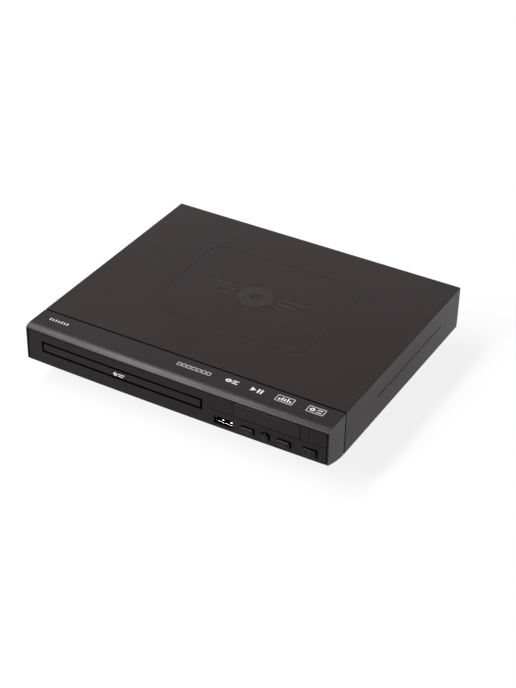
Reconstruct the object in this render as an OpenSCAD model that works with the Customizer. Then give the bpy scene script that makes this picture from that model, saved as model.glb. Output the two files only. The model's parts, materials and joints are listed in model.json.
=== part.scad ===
// Compact disc player with a motor-driven tray.
// X runs along the front, Y from the front to the back and Z up.
// The origin is on the shelf, under the middle of the player.

/* [Body] */
// Width of the body at its widest line
body_w = 223; // [222:1:240]
// Depth from the middle of the front to the back edge
body_d = 190; // [189:1:205]
// Height of the top above the shelf
body_h = 42; // [41.5:0.5:48]
// Wall of the plastic shell
shell_t = 2.2; // [1.6:0.1:2.4]
// How far the middle of the front stands out past its corners
front_bow = 1; // [0.4:0.1:1.4]
// Height of the widest line of the sides above the shelf
belly_z = 27; // [22:0.5:32]
// How far each side leans in from the widest line up to the top
crown_in = 0; // [0:0.1:1]
// How far each side leans in from the widest line down to its lower edge
tuck_in = 0.2; // [0:0.1:1.6]
// Height of the lower edge of the sides above the shelf
skirt_z = 10.4; // [9.8:0.1:11]
// Radius along the top edges
edge_r = 0.5; // [0.5:0.1:1.5]

/* [Front] */
// Depth of the front piece, from its corners back to the shadow gap
bezel_d = 21.6; // [20:0.2:26]
// Width of the shadow gap between the front piece and the cover
seam_gap = 1.3; // [0.6:0.1:2]
// Depth of the rolled upper edge of the front
roll_d = 8; // [5:0.5:10]
// How far the rolled edge falls from the top to the flat face
roll_h = 2.6; // [1.5:0.1:3.4]
// Height of the lower edge of the face above the shelf
face_low_z = 16.1; // [14.5:0.1:16.6]
// How steeply the underside of the front rises to the face
sweep_power = 1.6; // [1.2:0.1:2]
// Start of the display window, in percent of the way from the tray opening to the side
window_from = 24.9; // [24.6:0.1:26.6]
// End of the display window, in percent of the same way
window_to = 77.6; // [75:0.1:78]
// Height of the display window
window_h = 9.6; // [8:0.2:10]
// Height of the window's lower edge above the shelf
window_z = 28.6; // [28:0.2:29]
// Thickness of the window
window_t = 1.2; // [0.8:0.1:1.4]

/* [Buttons] */
// Width of a narrow button, in percent of the way from the tray opening to the side
key_share = 10.5; // [9:0.1:11]
// Height of a narrow button
key_h = 4; // [3.6:0.2:5.2]
// Width of the round button, in percent of the same way
round_share = 6.6; // [5.4:0.1:7]
// Width of the power button, in percent of the same way
power_share = 10.5; // [10:0.1:12]
// Height of the power button
power_h = 5; // [4.6:0.2:6.4]
// Height of the buttons' middle above the shelf
key_z = 21.4; // [20.4:0.1:21.8]
// How far the buttons stand out of the face
key_out = 1.5; // [1:0.1:2]
// How far a button travels when pressed
key_travel = 0.8; // [0.4:0.1:0.8]
// Gap round a button in its hole
key_gap = 0.6; // [0.3:0.05:0.7]
// Corner radius of the buttons
key_r = 1; // [0.5:0.1:1.6]
// Middle of the plug socket, in percent of the way from the tray opening to the side
usb_at = 17.1; // [16.8:0.1:17.6]
// Middle of the open button, in percent of the same way
open_at = 36.7; // [36.2:0.1:37]
// Middle of the play button, in percent of the same way
play_at = 50.9; // [50.6:0.1:51.4]
// Middle of the stop button, in percent of the same way
stop_at = 65.6; // [65.2:0.1:66]
// Middle of the power button, in percent of the same way
power_at = 85.9; // [85.4:0.1:86.4]

/* [Disc and tray] */
// Diameter of the large disc
disc_d = 120; // [119:0.5:121]
// Diameter of the small disc
small_disc_d = 80; // [78:1:80]
// Thickness of a disc
disc_t = 1.2; // [1:0.1:1.3]
// Play round a disc in its recess
disc_play = 0.5; // [0.3:0.1:0.8]
// Edge left between the large recess and the tray's side at the widest point
tray_rim = 0.2; // [0.1:0.1:0.6]
// Distance from the left side of the player to the tray opening
tray_margin = 12.2; // [11.8:0.1:12.6]
// Gap between the tray and each side of its opening
tray_side_gap = 0.6; // [0.4:0.1:0.9]
// Height of the tray's underside above the shelf
tray_z = 25.9; // [25.5:0.1:26.2]
// Height of the tray
tray_h = 5.9; // [5.5:0.1:6]
// Gap under the tray in the opening
tray_low_gap = 0.9; // [0.5:0.1:1]
// Gap over the tray in the opening
tray_top_gap = 1.4; // [0.6:0.1:1.5]
// Thickness of the tray's floor
tray_floor = 1.2; // [1:0.1:1.3]
// Room behind the tray, up to the rear panel
tray_room = 17.9; // [17.5:0.1:20]
// How far the tray slides out
tray_travel = 125; // [115:1:125]
// Depth of the door on the tray's front
door_d = 3.6; // [3:0.1:4]
// Height of the door's face
door_h = 5.2; // [4.6:0.1:5.4]
// Width of the slot in the tray for the turntable and the pickup
slot_w = 34; // [32:1:36]

/* [Loader] */
// Thickness of the loader's plate
deck_t = 1.5; // [1.2:0.1:1.6]
// Height from the loader's plate up to the tray
deck_drop = 4.2; // [4.1:0.1:4.4]
// Wall of the loader's sides
rail_t = 2.3; // [1.8:0.1:2.6]
// Sliding gap round the tray in its guides
slide_gap = 0.4; // [0.2:0.1:0.5]
// Module of the tray's rack and gear
rack_m = 1; // [0.9:0.1:1]
// Teeth of the gear that drives the tray
rack_teeth = 14; // [13:1:14]
// Module of the reduction gears
drive_m = 0.8; // [0.7:0.1:0.8]
// Teeth of the driven gear under the tray gear
wheel_teeth = 24; // [20:1:24]
// Teeth of the pinion on the belt pulley
pinion_teeth = 12; // [11:1:13]
// Play between meshing teeth
tooth_play = 0.3; // [0.2:0.05:0.4]
// Radius of the belt pulley's groove
pulley_r = 8.2; // [7.4:0.1:8.4]
// Radius of the motor pulley's groove
motor_pulley_r = 1.6; // [1.5:0.1:2]
// Thickness of the belt
belt_t = 1.2; // [1:0.1:1.4]
// Radius of the loading motor
motor_r = 10; // [9:0.5:10]
// Height of the loading motor
motor_h = 11; // [9:0.5:11.5]
// Radius of the gears' axles
axle_r = 1.5; // [1.2:0.1:1.6]
// Running play of a bore on its axle
axle_play = 0.06; // [0.03:0.01:0.1]

/* [Traverse] */
// Height of the turntable's seat above the tray's disc floor when it holds a disc
disc_lift = 1.3; // [1:0.1:1.4]
// Radius of the turntable
table_r = 14.5; // [13:0.5:15]
// Radius of a disc's centre hole
hub_r = 7.4; // [7.2:0.1:7.5]
// Height of the turntable's hub over its seat
hub_h = 1.8; // [1.4:0.1:2]
// Radius of the spindle motor
spindle_motor_r = 12.5; // [11:0.5:13]
// Angle by which the traverse drops to let the tray out
drop_angle = 3.2; // [2.6:0.1:3.4]
// Distance from the loader's back edge forward to the traverse's hinge
hinge_room = 18.9; // [18.5:0.1:21]
// Distance from the spindle forward to the traverse's front edge
front_reach = 23; // [22:0.5:24]
// How far the cam slider travels
cam_travel = 14; // [12:0.5:14]
// Radius of the guide rods
rod_r = 1.5; // [1.2:0.1:1.8]
// Distance from the spindle to each guide rod
rod_x = 26; // [25:0.5:27]
// Distance from the spindle to the lens with the pickup at its inner end
lens_in = 24; // [23:0.5:25]
// Radius of the lead screw
screw_r = 1.5; // [1.2:0.1:1.6]

/* [Base and back] */
// Height of the feet under the base
foot_h = 5.3; // [4.8:0.1:5.6]
// Radius of a foot
foot_r = 8; // [6:0.5:9]
// Thickness of the base's sheet
pan_t = 1.6; // [1.2:0.1:2]
// Distance from the side of the player to the base's lower part
pan_inset = 11; // [10:0.5:12]
// Depth of the recess over the sockets at the back
recess_d = 8; // [7:0.5:9]
// Thickness of the rear panel
panel_t = 1.5; // [1:0.1:2]
// Thickness of the circuit boards
board_t = 1.6; // [1.2:0.2:1.8]
// Height of the main boards above the shelf
board_z = 12; // [11.5:0.1:12.4]
// Outer radius of a phono socket's sleeve
phono_r = 4.15; // [4:0.05:4.2]
// Radius of a phono socket's centre bore
phono_bore_r = 1.6; // [1.55:0.05:1.7]
// Distance between two phono sockets
phono_pitch = 14; // [13:0.5:16]
// Number of phono sockets
phono_count = 4; // [2:1:4]

/* [Hidden] */
$fn = 64;

// Outer planes of the player
side_x = body_w / 2;
front_y = -body_d / 2;
back_y = body_d / 2;
top_z = body_h;
corner_y = front_y + front_bow;
seam_y = corner_y + bezel_d;
crease_z = top_z - roll_h;
bow_r = side_x * side_x / (2 * front_bow) + front_bow / 2;
bow_steps = 14;
// Gap left between neighbours
slack = 0.3;
// How far a cut runs past the face it opens
over = 1;
// How far two parts of one piece run into each other
weld = 0.1;
// Longer than any bore
deep = 60;

// Tray and its opening
recess_r = disc_d / 2 + disc_play;
small_r = small_disc_d / 2 + disc_play;
tray_w = 2 * (recess_r + tray_rim);
opening_w = tray_w + 2 * tray_side_gap;
tray_x = -side_x + tray_margin + opening_w / 2;
opening_z = tray_z - tray_low_gap;
opening_h = tray_h + tray_low_gap + tray_top_gap;
tray_top = tray_z + tray_h;
rim_h = 1.9;
disc_z = tray_top - rim_h;
small_z = disc_z - disc_t - 0.2;
tray_y = front_y + door_d;
tray_wall = 2.3;
tray_front = 2.6;
spindle_y = tray_y + tray_front + recess_r;
panel_y = back_y - recess_d;
panel_in = panel_y - panel_t;
tray_back = panel_in - tray_room;
tray_len = tray_back - tray_y;
tray_left = tray_x - tray_w / 2;
tray_right = tray_x + tray_w / 2;

// Space on the front between the tray opening and the right side
free_x = tray_x + opening_w / 2;
free_w = side_x - free_x;
function on_front(percent) = free_x + free_w * percent / 100;
key_w = free_w * key_share / 100;
round_key_r = free_w * round_share / 200;
power_w = free_w * power_share / 100;
key_flange = key_gap + free_w / 200;
window_x0 = on_front(window_from);
window_w = on_front(window_to) - window_x0;
key_xs = [on_front(open_at), on_front(play_at), on_front(stop_at), on_front(power_at)];

// Loader
deck_z = tray_z - deck_drop - deck_t;
deck_top = deck_z + deck_t;
frame_left = tray_left - slide_gap - rail_t;
frame_right = tray_right + slide_gap + rail_t;
frame_front = tray_y + 1;
frame_back = tray_back + 3;
frame_top = tray_top + slide_gap + 1.4;
ledge_w = 2;
ledge_t = 1.3;
leg_r = 4;
boss_h = 4;
leg_front = seam_y + slack + 8;
leg_back = frame_back - 6;
leg_spots = [
    [tray_x - 20, leg_front], [frame_right - 6, leg_front],
    [frame_left + 7.5, leg_back], [frame_right - 6, leg_back]
];
pin_play = 0.08;

// Gears: the rack is the inner face of the tray's left wall
rack_x = tray_left + tray_wall + rack_m;
gear_h = 2.1;
gear_z = tray_z + 0.3;
rack_h = tray_h - rim_h - tray_floor;
tray_gear_r = rack_m * rack_teeth / 2;
gear_x = rack_x + tray_gear_r;
gear_y = frame_front + 18.4;
wheel_r = drive_m * wheel_teeth / 2;
pinion_r = drive_m * pinion_teeth / 2;
drive_z = deck_top + slack;
drive_h = 1.7;
pulley_x = gear_x + wheel_r + pinion_r;
belt_z = drive_z + drive_h + slack;
pulley_h = 1.8;
flange_t = 0.35;
flange_r = 1.4;
belt_h = 0.8;
belt_play = 0.1;
motor_x = tray_left + 10.8;
motor_y = leg_front + 14;
motor_z = deck_z - motor_h;
rack_y0 = gear_y - 4 * rack_m * PI;
rack_y1 = gear_y + tray_travel + 3 * rack_m * PI;
stop_w = 4;
stop_t = 2;
stop_x = tray_right - 11;

// Traverse
seat_z = disc_z + disc_lift;
table_h = 3.6;
plate_t = 1.4;
plate_z = tray_z - 4.3;
spindle_x = tray_x;
hinge_y = frame_back - hinge_room;
lift_z = plate_z - 6.6;
lift_h = 6;
hinge_z = lift_z + lift_h / 2;
lift_left = spindle_x - 36;
lift_right = spindle_x + 47;
lift_front = spindle_y - front_reach;
lift_back = hinge_y + 7.5;
lift_rail = 3;
hinge_pin_r = 2;
hinge_pin_l = 4;
well_gap = 1.6;
well_left = lift_left - well_gap;
well_right = lift_right + well_gap;
well_back = lift_back + well_gap;
cam_t = 2;
cam_gap = 1.4;
cam_y = lift_front - cam_gap - cam_t;
cam_pin_r = 1.5;
cam_pin_z = lift_z + 4.4;
cam_pins = [spindle_x - 14, spindle_x + 18];
cam_arm = hinge_y - cam_y;
cam_drop = cam_arm * sin(drop_angle);
cam_flat = 2;
cam_left = cam_pins[0] - cam_travel - 8;
cam_right = cam_pins[1] + 8;
cam_low = lift_z - 5;
cam_top = cam_pin_z + 3.4;
cam_lip = 0.5;
cam_play = 0.25;
wall_y = cam_y - slack;
wall_t = 1.5;
well_front = wall_y;

// Pickup
rod_z = plate_z - 3.6;
sled_front = spindle_y + 14.2;
sled_len = 23;
sled_low = plate_z - 6.4;
sled_top = tray_z - 0.7;
sled_half = 22.6;
lens_y = spindle_y + lens_in;
well_half = sled_half + 0.8;
ear_r = 3.2;
rod_y0 = sled_front - 4;
rod_y1 = hinge_y - 5.3;
sled_travel = rod_y1 - 3.5 - sled_len - sled_front;
screw_x = spindle_x + 32.6;
feed_motor_r = 3.7;
feed_motor_y = lift_front + 5;
feed_motor_l = 10;
holder_w = 11;
holder_l = 12;
holder_h = 2;
holder_z = sled_top + 0.8;
lens_r = 2.2;
lens_t = 1;

// Clamp
bridge_half = 21;
bridge_t = 1.6;
clamp_r = 13;
clamp_hole_r = clamp_r + 0.8;
clamp_flange_r = clamp_hole_r + 3.2;
clamp_z = seat_z + disc_t - 0.6;
clamp_flange_z = frame_top + bridge_t + slack;
magnet_r = 7;

// Base
base_z = foot_h;
pan_x = side_x - pan_inset;
ledge_x = side_x - shell_t - 1.7;
pan_top = base_z + pan_t;
upstand_z = 18;
pan_front = seam_y + slack;
ledge_top = skirt_z + pan_t;
foot_xs = [-side_x + 28, side_x - 28];
foot_ys = [front_y + 39, back_y - 26];
foot_stem_r = 3;
tab_ys = [front_y + 55, back_y - 32];
tab_x = side_x - 8;
tab_half = 4;
tab_h = 6;
tab_reach = 20;

// Boards
board_left = frame_right + 4;
board_right = side_x - 13;
main_y0 = seam_y + 4;
power_y1 = panel_in - 1;
main_y1 = main_y0 + (power_y1 - main_y0) * 0.497;
power_y0 = main_y1 + 6;
jack_x0 = frame_left + 8;
jack_x1 = frame_right - 3;
jack_y0 = frame_back + 1.6;
front_board_y = front_y + 14.5;
front_board_x0 = board_left - 1.5;
front_board_x1 = side_x - 4.4;
front_board_z0 = 15;
front_board_z1 = top_z - 4.4;
switch_h = 3.5;
switch_w = 6;
plunger_h = 1.2;
plunger_r = 1.7;
stem_gap = key_travel + 0.1;
usb_w = 13.1;
usb_h = 5.3;
usb_wall = 0.35;
usb_x = on_front(usb_at);
usb_z = 21.5;
usb_gap = 0.15;
led_x = on_front(84.6);
led_z = 32;
post_r = 2.4;
post_spots = [
    [front_board_x0 + 2.6, front_board_z1 - 2.6],
    [front_board_x1 - 2.6, front_board_z1 - 2.6],
    [on_front(75.7), front_board_z0 + 2]
];
board_spots = [
    [board_left + 4, main_y0 + 4], [board_right - 4, main_y0 + 4],
    [board_left + 4, main_y1 - 4], [board_right - 4, main_y1 - 4],
    [board_left + 4, power_y0 + 4], [board_right - 4, power_y0 + 4],
    [board_left + 4, power_y1 - 5], [jack_x0 + 4, jack_y0 + 4], [jack_x1 - 4, jack_y0 + 4]
];
screw_body_r = 1.3;
screw_head_r = 2.6;
screw_head_h = 1.6;
screw_slot = 0.6;
thread_r = screw_body_r + 0.05;
screw_hole_r = screw_body_r + 0.2;
inlet_x = side_x - 22;
inlet_z = 22;
phono_z = 24;
phono_x0 = jack_x0 + 12;
sleeve_l = 8;
hdmi_x = phono_x0 + phono_count * phono_pitch + 8;
hdmi_w = 15;
hdmi_h = 5.6;

// ---- Outlines ----

// Half of the shell's width at a height
function shell_half(z) = side_x - (z > belly_z
    ? crown_in * pow((z - belly_z) / (top_z - belly_z), 2)
    : tuck_in * pow((belly_z - z) / (belly_z - skirt_z), 2));

// Right half of the shell's section, from its lower edge to the top
function shell_side(inset, low) = let (shoulder = top_z - max(edge_r, inset)) concat(
    [for (i = [0:8]) let (z = low + (shoulder - low) * i / 8) [shell_half(z) - inset, z]],
    inset < edge_r
        ? [for (a = [30:30:90]) [
            shell_half(top_z) - edge_r + (edge_r - inset) * cos(a),
            top_z - edge_r + (edge_r - inset) * sin(a)]]
        : []);

function mirrored(points) = concat(points,
    [for (i = [len(points) - 1:-1:0]) [-points[i][0], points[i][1]]]);

module shell_section(inset, low) {
    polygon(mirrored(shell_side(inset, low)));
}

// Extrudes an outline drawn in X and Z from y0 back to y1
module along_y(y0, y1) {
    translate([0, y1, 0])
        rotate([90, 0, 0])
            linear_extrude(y1 - y0)
                children();
}

// Y of the bowed face at a given X
function face_y(x) = front_y + bow_r - sqrt(bow_r * bow_r - x * x);

// Places along the front from x0 to x1
function stations(x0, x1) = [for (i = [0:bow_steps]) x0 + (x1 - x0) * i / bow_steps];

// Sweeps an outline of [depth behind the face, height] points along the bowed front
module bowed(outline) {
    xs = stations(-side_x - over, side_x + over);
    n = len(outline);
    polyhedron(
        points = [for (x = xs) for (p = outline) [x, face_y(x) + p[0], p[1]]],
        faces = concat(
            [[for (k = [n - 1:-1:0]) k]],
            [[for (k = [0:n - 1]) bow_steps * n + k]],
            [for (i = [0:bow_steps - 1]) for (k = [0:n - 1]) let (m = (k + 1) % n)
                [i * n + k, i * n + m, (i + 1) * n + m, (i + 1) * n + k]]));
}

// Height of the underside of the front at a depth behind the face
function sweep_z(d) = skirt_z
    + (face_low_z - skirt_z) * pow(max(0, 1 - d / bezel_d), sweep_power);

function bezel_outline(inset) = concat(
    [for (a = [0:15:90]) [roll_d - (roll_d - inset) * cos(a), crease_z - inset + roll_h * sin(a)]],
    [[bezel_d + front_bow + 2 * over, top_z - inset],
        [bezel_d + front_bow + 2 * over, skirt_z + inset]],
    [for (i = [8:-1:0]) let (d = inset + (bezel_d - inset) * i / 8) [d, sweep_z(d) + inset]]);

// A bar whose front follows the bowed face at depth d, and whose back is flat at y
module face_bar(x0, x1, z0, z1, d, y) {
    translate([0, 0, z0])
        linear_extrude(z1 - z0)
            polygon(concat([for (x = stations(x0, x1)) [x, face_y(x) + d]], [[x1, y], [x0, y]]));
}

module rounded_rect(w, h, r) {
    offset(r) square([w - 2 * r, h - 2 * r], center = true);
}

// Involute gear teeth
pressure = 20;
tooth_tip = 0.85;
tooth_root = 1.2;
function involute(a) = tan(a) * 180 / PI - a;
function half_tooth(n, m, r) = 90 / n + involute(pressure)
    - involute(acos(min(1, n * m / 2 * cos(pressure) / r)))
    - tooth_play / 2 / (n * m / 2) * 180 / PI;

module gear(n, m, h, turn = 0) {
    pitch = n * m / 2;
    root = pitch - tooth_root * m;
    base = pitch * cos(pressure);
    tip = pitch + tooth_tip * m;
    radii = [root, max(base, root + weld), pitch, (pitch + tip) / 2, tip];
    linear_extrude(h)
        rotate(turn)
            polygon([for (i = [0:n - 1]) let (mid = i * 360 / n) each concat(
                [for (r = radii) r * [cos(mid - half_tooth(n, m, r)), sin(mid - half_tooth(n, m, r))]],
                [for (k = [4:-1:0]) let (r = radii[k])
                    r * [cos(mid + half_tooth(n, m, r)), sin(mid + half_tooth(n, m, r))]])]);
}

// One screw with its head up
module screw(length, head_r = screw_head_r) {
    difference() {
        union() {
            cylinder(h = screw_head_h, r = head_r);
            translate([0, 0, -length]) cylinder(h = length + weld, r = screw_body_r);
        }
        for (size = [[head_r * 1.2, screw_slot], [screw_slot, head_r * 1.2]])
            translate([0, 0, screw_head_h]) cube([size[0], size[1], 2 * screw_slot], center = true);
    }
}

// A standing tube that takes a screw
module boss(r, z0, z1) {
    translate([0, 0, z0])
        difference() {
            cylinder(h = z1 - z0, r = r);
            translate([0, 0, boss_floor]) cylinder(h = z1 - z0, r = thread_r);
        }
}
boss_floor = 0.8;

// ---- Shell ----

module top_cover() {
    color("#2d2829") {
        difference() {
            along_y(seam_y + seam_gap / 2, back_y) shell_section(0, skirt_z);
            along_y(seam_y - over, back_y + over) shell_section(shell_t, skirt_z - over);
            // Thin groove along each side
            for (s = [-1, 1])
                translate([s * side_x - line_d, groove_y0, belly_z - line_w / 2])
                    cube([2 * line_d, groove_y1 - groove_y0, line_w]);
            // Shallow rounded frame on the top
            translate([0, panel_mid_y, top_z - line_d])
                linear_extrude(over)
                    difference() {
                        rounded_rect(panel_w, panel_l, panel_r);
                        rounded_rect(panel_w - 2 * line_w, panel_l - 2 * line_w, panel_r - line_w);
                    }
        }
        for (s = [-1, 1])
            for (y = tab_ys)
                difference() {
                    intersection() {
                        translate([s * (tab_x + tab_reach / 2 - tab_half), y, ledge_top + tab_h / 2])
                            cube([tab_reach, 2 * tab_half, tab_h], center = true);
                        along_y(y - tab_reach, y + tab_reach) shell_section(shell_t - 2 * weld, skirt_z);
                    }
                    translate([s * tab_x, y, ledge_top - over])
                        cylinder(h = tab_h, r = thread_r);
                }
        for (x = rear_screw_xs)
            translate([x, 0, rear_screw_z])
                difference() {
                    union() {
                        along_y(panel_in - rear_boss_l, panel_in) circle(rear_boss_r);
                        translate([-rib_t / 2, panel_in - rear_boss_l, 0])
                            cube([rib_t, rear_boss_l, top_z - shell_t - rear_screw_z + 2 * weld]);
                    }
                    along_y(panel_in - rear_boss_l + over, panel_in + over) circle(thread_r);
                }
    }
}
line_d = 0.4;
line_w = 0.6;
groove_y0 = front_y + 67;
groove_y1 = back_y - 28;
panel_w = 118;
panel_l = 92.5;
panel_r = 11;
panel_mid_y = front_y + 108;
rear_screw_xs = [-side_x + 9, side_x - 9];
rear_screw_z = top_z - 9;
rear_boss_r = 3.4;
rear_boss_l = 8;
rib_t = 2;

module front_bezel() {
    color("#26221f") {
        difference() {
            intersection() {
                bowed(bezel_outline(0));
                along_y(front_y - over, seam_y - seam_gap / 2) shell_section(0, skirt_z - over);
            }
            intersection() {
                bowed(bezel_outline(shell_t));
                along_y(front_y - over, seam_y + over) shell_section(shell_t, skirt_z - over);
            }
            // Tray opening
            translate([tray_x - opening_w / 2, front_y - over, opening_z])
                cube([opening_w, cut_d, opening_h]);
            // Window seat, and the hole behind it
            face_bar(window_x0, window_x0 + window_w, window_z, window_z + window_h, -over, window_back);
            translate([window_x0 + window_rim, front_y, window_z + window_rim / 2])
                cube([window_w - 2 * window_rim, cut_d, window_h - window_rim]);
            // Holes for the buttons
            for (x = key_xs)
                translate([x, front_y - over, key_z])
                    rotate([-90, 0, 0])
                        linear_extrude(cut_d)
                            offset(key_gap)
                                key_outline(x);
            // Slot for the plug
            translate([usb_x - usb_w / 2 - usb_gap, front_y - over, usb_z - usb_h / 2 - usb_gap])
                cube([usb_w + 2 * usb_gap, cut_d, usb_h + 2 * usb_gap]);
            // Hole for the lamp
            translate([led_x - led_w / 2 - led_play, front_y - over, led_z - led_h / 2 - led_play])
                cube([led_w + 2 * led_play, cut_d, led_h + 2 * led_play]);
        }
        // Lip that closes the shadow gap from inside
        difference() {
            along_y(seam_y - lip_reach, seam_y + lip_reach) shell_section(shell_t + slack, upstand_z - 2);
            along_y(seam_y - lip_reach - over, seam_y + lip_reach + over)
                shell_section(shell_t + slack + lip_t, upstand_z - 3);
            translate([-side_x, seam_y - lip_reach - over, ledge_top])
                cube([2 * side_x, 2 * (lip_reach + over), upstand_z - ledge_top + slack]);
        }
        // Bridges from the lip to the walls
        difference() {
            along_y(seam_y - lip_reach, seam_y - lip_reach / 2)
                shell_section(shell_t - weld, upstand_z + over);
            along_y(seam_y - lip_reach - over, seam_y - lip_reach / 2 + over)
                shell_section(shell_t + slack + lip_t, upstand_z);
        }
        // Posts for the front board
        for (p = post_spots)
            translate([p[0], 0, p[1]])
                difference() {
                    along_y(face_y(p[0]) + shell_t - 4 * weld, front_board_y) circle(post_r);
                    along_y(front_board_y - post_bore, front_board_y + over) circle(thread_r);
                }
    }
}
lip_t = 1.4;
lip_reach = 4;
led_w = 1.2;
led_h = 2.8;
led_play = 0.05;
cut_d = 8;
window_rim = 2.4;
post_bore = 7;
window_back = face_y(window_x0 + window_w) + window_t;
window_play = 0.1;

// Outline of the button at a given X, seen from the front
module key_outline(x) {
    if (x == key_xs[1])
        circle(round_key_r);
    else if (x == key_xs[3])
        rounded_rect(power_w, power_h, key_r);
    else
        rounded_rect(key_w, key_h, key_r);
}

module button(x) {
    wall_in = face_y(x) + shell_t + slack;
    color("#1f1c1b") {
        translate([x, wall_in, key_z])
            rotate([90, 0, 0])
                linear_extrude(wall_in - face_y(x) + key_out)
                    key_outline(x);
        translate([x, wall_in + key_flange_t, key_z])
            rotate([90, 0, 0])
                linear_extrude(key_flange_t)
                    for (s = [-1, 1])
                        translate([s * key_flange, 0]) key_outline(x);
        translate([x, 0, key_z])
            along_y(wall_in, front_board_y - switch_h - plunger_h - stem_gap) circle(stem_r);
    }
}
key_flange_t = 0.8;
stem_r = 1.5;

module display_window() {
    color("#3a3336")
        face_bar(window_x0 + window_play, window_x0 + window_w - window_play, window_z + window_play,
            window_z + window_h - window_play, 0, window_back);
}

module power_led() {
    color("#b8b0a8")
        translate([led_x - led_w / 2, face_y(led_x), led_z - led_h / 2])
            cube([led_w, front_board_y - face_y(led_x), led_h]);
}

module base_pan() {
    color("#3c3b3d") {
        difference() {
            union() {
                translate([-pan_x, pan_front, base_z])
                    cube([2 * pan_x, panel_in - pan_front, ledge_top - base_z]);
                translate([-ledge_x, pan_front, skirt_z])
                    cube([2 * ledge_x, panel_in - pan_front, upstand_z - skirt_z]);
            }
            translate([-ledge_x + pan_t, pan_front - over, ledge_top])
                cube([2 * (ledge_x - pan_t), panel_in - pan_front + 2, upstand_z]);
            translate([-pan_x + pan_t, pan_front + pan_t, pan_top])
                cube([2 * (pan_x - pan_t), panel_in - pan_front - 2 * pan_t, upstand_z]);
            // Notches in the sides for the cover's tabs, and holes for their screws
            for (s = [-1, 1])
                for (y = tab_ys) {
                    translate([s * ledge_x, y, ledge_top + upstand_z / 2])
                        cube([2 * pan_t + over, 2 * (tab_half + slack), upstand_z], center = true);
                    translate([s * tab_x, y, skirt_z - over])
                        cylinder(h = pan_t + 2 * over, r = screw_hole_r);
                }
            // Holes for the feet
            for (x = foot_xs)
                for (y = foot_ys)
                    translate([x, y, base_z - over]) cylinder(h = pan_t + 2 * over, r = foot_stem_r);
            // Cooling slots under the boards
            for (i = [0:vent_count - 1])
                for (y = [[main_y(29), main_y(81)], [power_y(17), power_y(68)]])
                    translate([board_x(vent_from + i * vent_pitch), y[0], base_z - over])
                        cube([vent_w, y[1] - y[0], pan_t + 2 * over]);
        }
        // Tongue that holds the front piece from inside
        translate([-pan_x + tongue_in, pan_front - tongue_d, tongue_z])
            cube([2 * (pan_x - tongue_in), tongue_d + pan_t, pan_t]);
        translate([-pan_x + tongue_in, pan_front, ledge_top - weld])
            cube([2 * (pan_x - tongue_in), pan_t, tongue_z - ledge_top + 2 * weld]);
        // Bosses under the boards and the loader
        for (p = board_spots)
            translate([p[0], p[1], 0]) boss(board_boss_r, pan_top - weld, board_z);
        for (p = leg_spots)
            translate([p[0], p[1], 0]) boss(leg_r, pan_top - weld, pan_top + boss_h);
    }
}
tongue_in = 6;
tongue_d = 5;
tongue_z = skirt_z + shell_t + 0.8;
board_boss_r = 3;
vent_count = 7;
vent_from = 23;
vent_pitch = 10;
vent_w = 3;

module rear_panel() {
    color("#2b2a2c") {
        difference() {
            along_y(panel_in, panel_y)
                difference() {
                    shell_section(shell_t + slack, skirt_z);
                    for (x = [-side_x, ledge_x - slack])
                        translate([x, skirt_z - over])
                            square([side_x - ledge_x + slack, upstand_z - skirt_z + over + slack]);
                }
            for (i = [0:phono_count - 1])
                translate([phono_x0 + i * phono_pitch, 0, phono_z])
                    along_y(panel_in - over, panel_y + over) circle(phono_r + 2 * slack);
            translate([hdmi_x - hdmi_w / 2 - slack, panel_in - over, board_top - slack])
                cube([hdmi_w + 2 * slack, panel_t + 2 * over, hdmi_h + 2 * slack]);
            translate([inlet_x, 0, inlet_z])
                along_y(panel_in - over, panel_y + over) inlet_outline(slack);
            for (x = rear_screw_xs)
                translate([x, 0, rear_screw_z])
                    along_y(panel_in - over, panel_y + over) circle(screw_hole_r);
            for (i = [0:rear_vent_count - 1])
                translate([hdmi_x + rear_vent_in + i * rear_vent_pitch, panel_in - over, rear_vent_z])
                    cube([rear_vent_pitch / 2, panel_t + 2 * over, rear_vent_h]);
        }
        translate([-pan_x + pan_t, panel_in, base_z])
            cube([2 * (pan_x - pan_t), panel_t, skirt_z - base_z + weld]);
    }
}
rear_vent_count = 9;
rear_vent_pitch = 6;
rear_vent_in = 28;
rear_vent_z = 20;
rear_vent_h = 12;

module rubber_feet() {
    color("#161616")
        for (x = foot_xs)
            for (y = foot_ys)
                translate([x, y, 0]) {
                    cylinder(h = base_z, r = foot_r);
                    translate([0, 0, base_z - weld]) cylinder(h = pan_t + over, r = foot_stem_r - weld / 2);
                }
}

module cover_screws() {
    color("#8d8f92")
        for (s = [-1, 1])
            for (y = tab_ys)
                translate([s * tab_x, y, skirt_z])
                    mirror([0, 0, 1])
                        screw(shell_screw_l);
}

module rear_screws() {
    color("#8d8f92")
        for (x = rear_screw_xs)
            translate([x, panel_y, rear_screw_z])
                rotate([-90, 0, 0])
                    screw(shell_screw_l);
}

shell_screw_l = 6;

// ---- Tray ----

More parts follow.
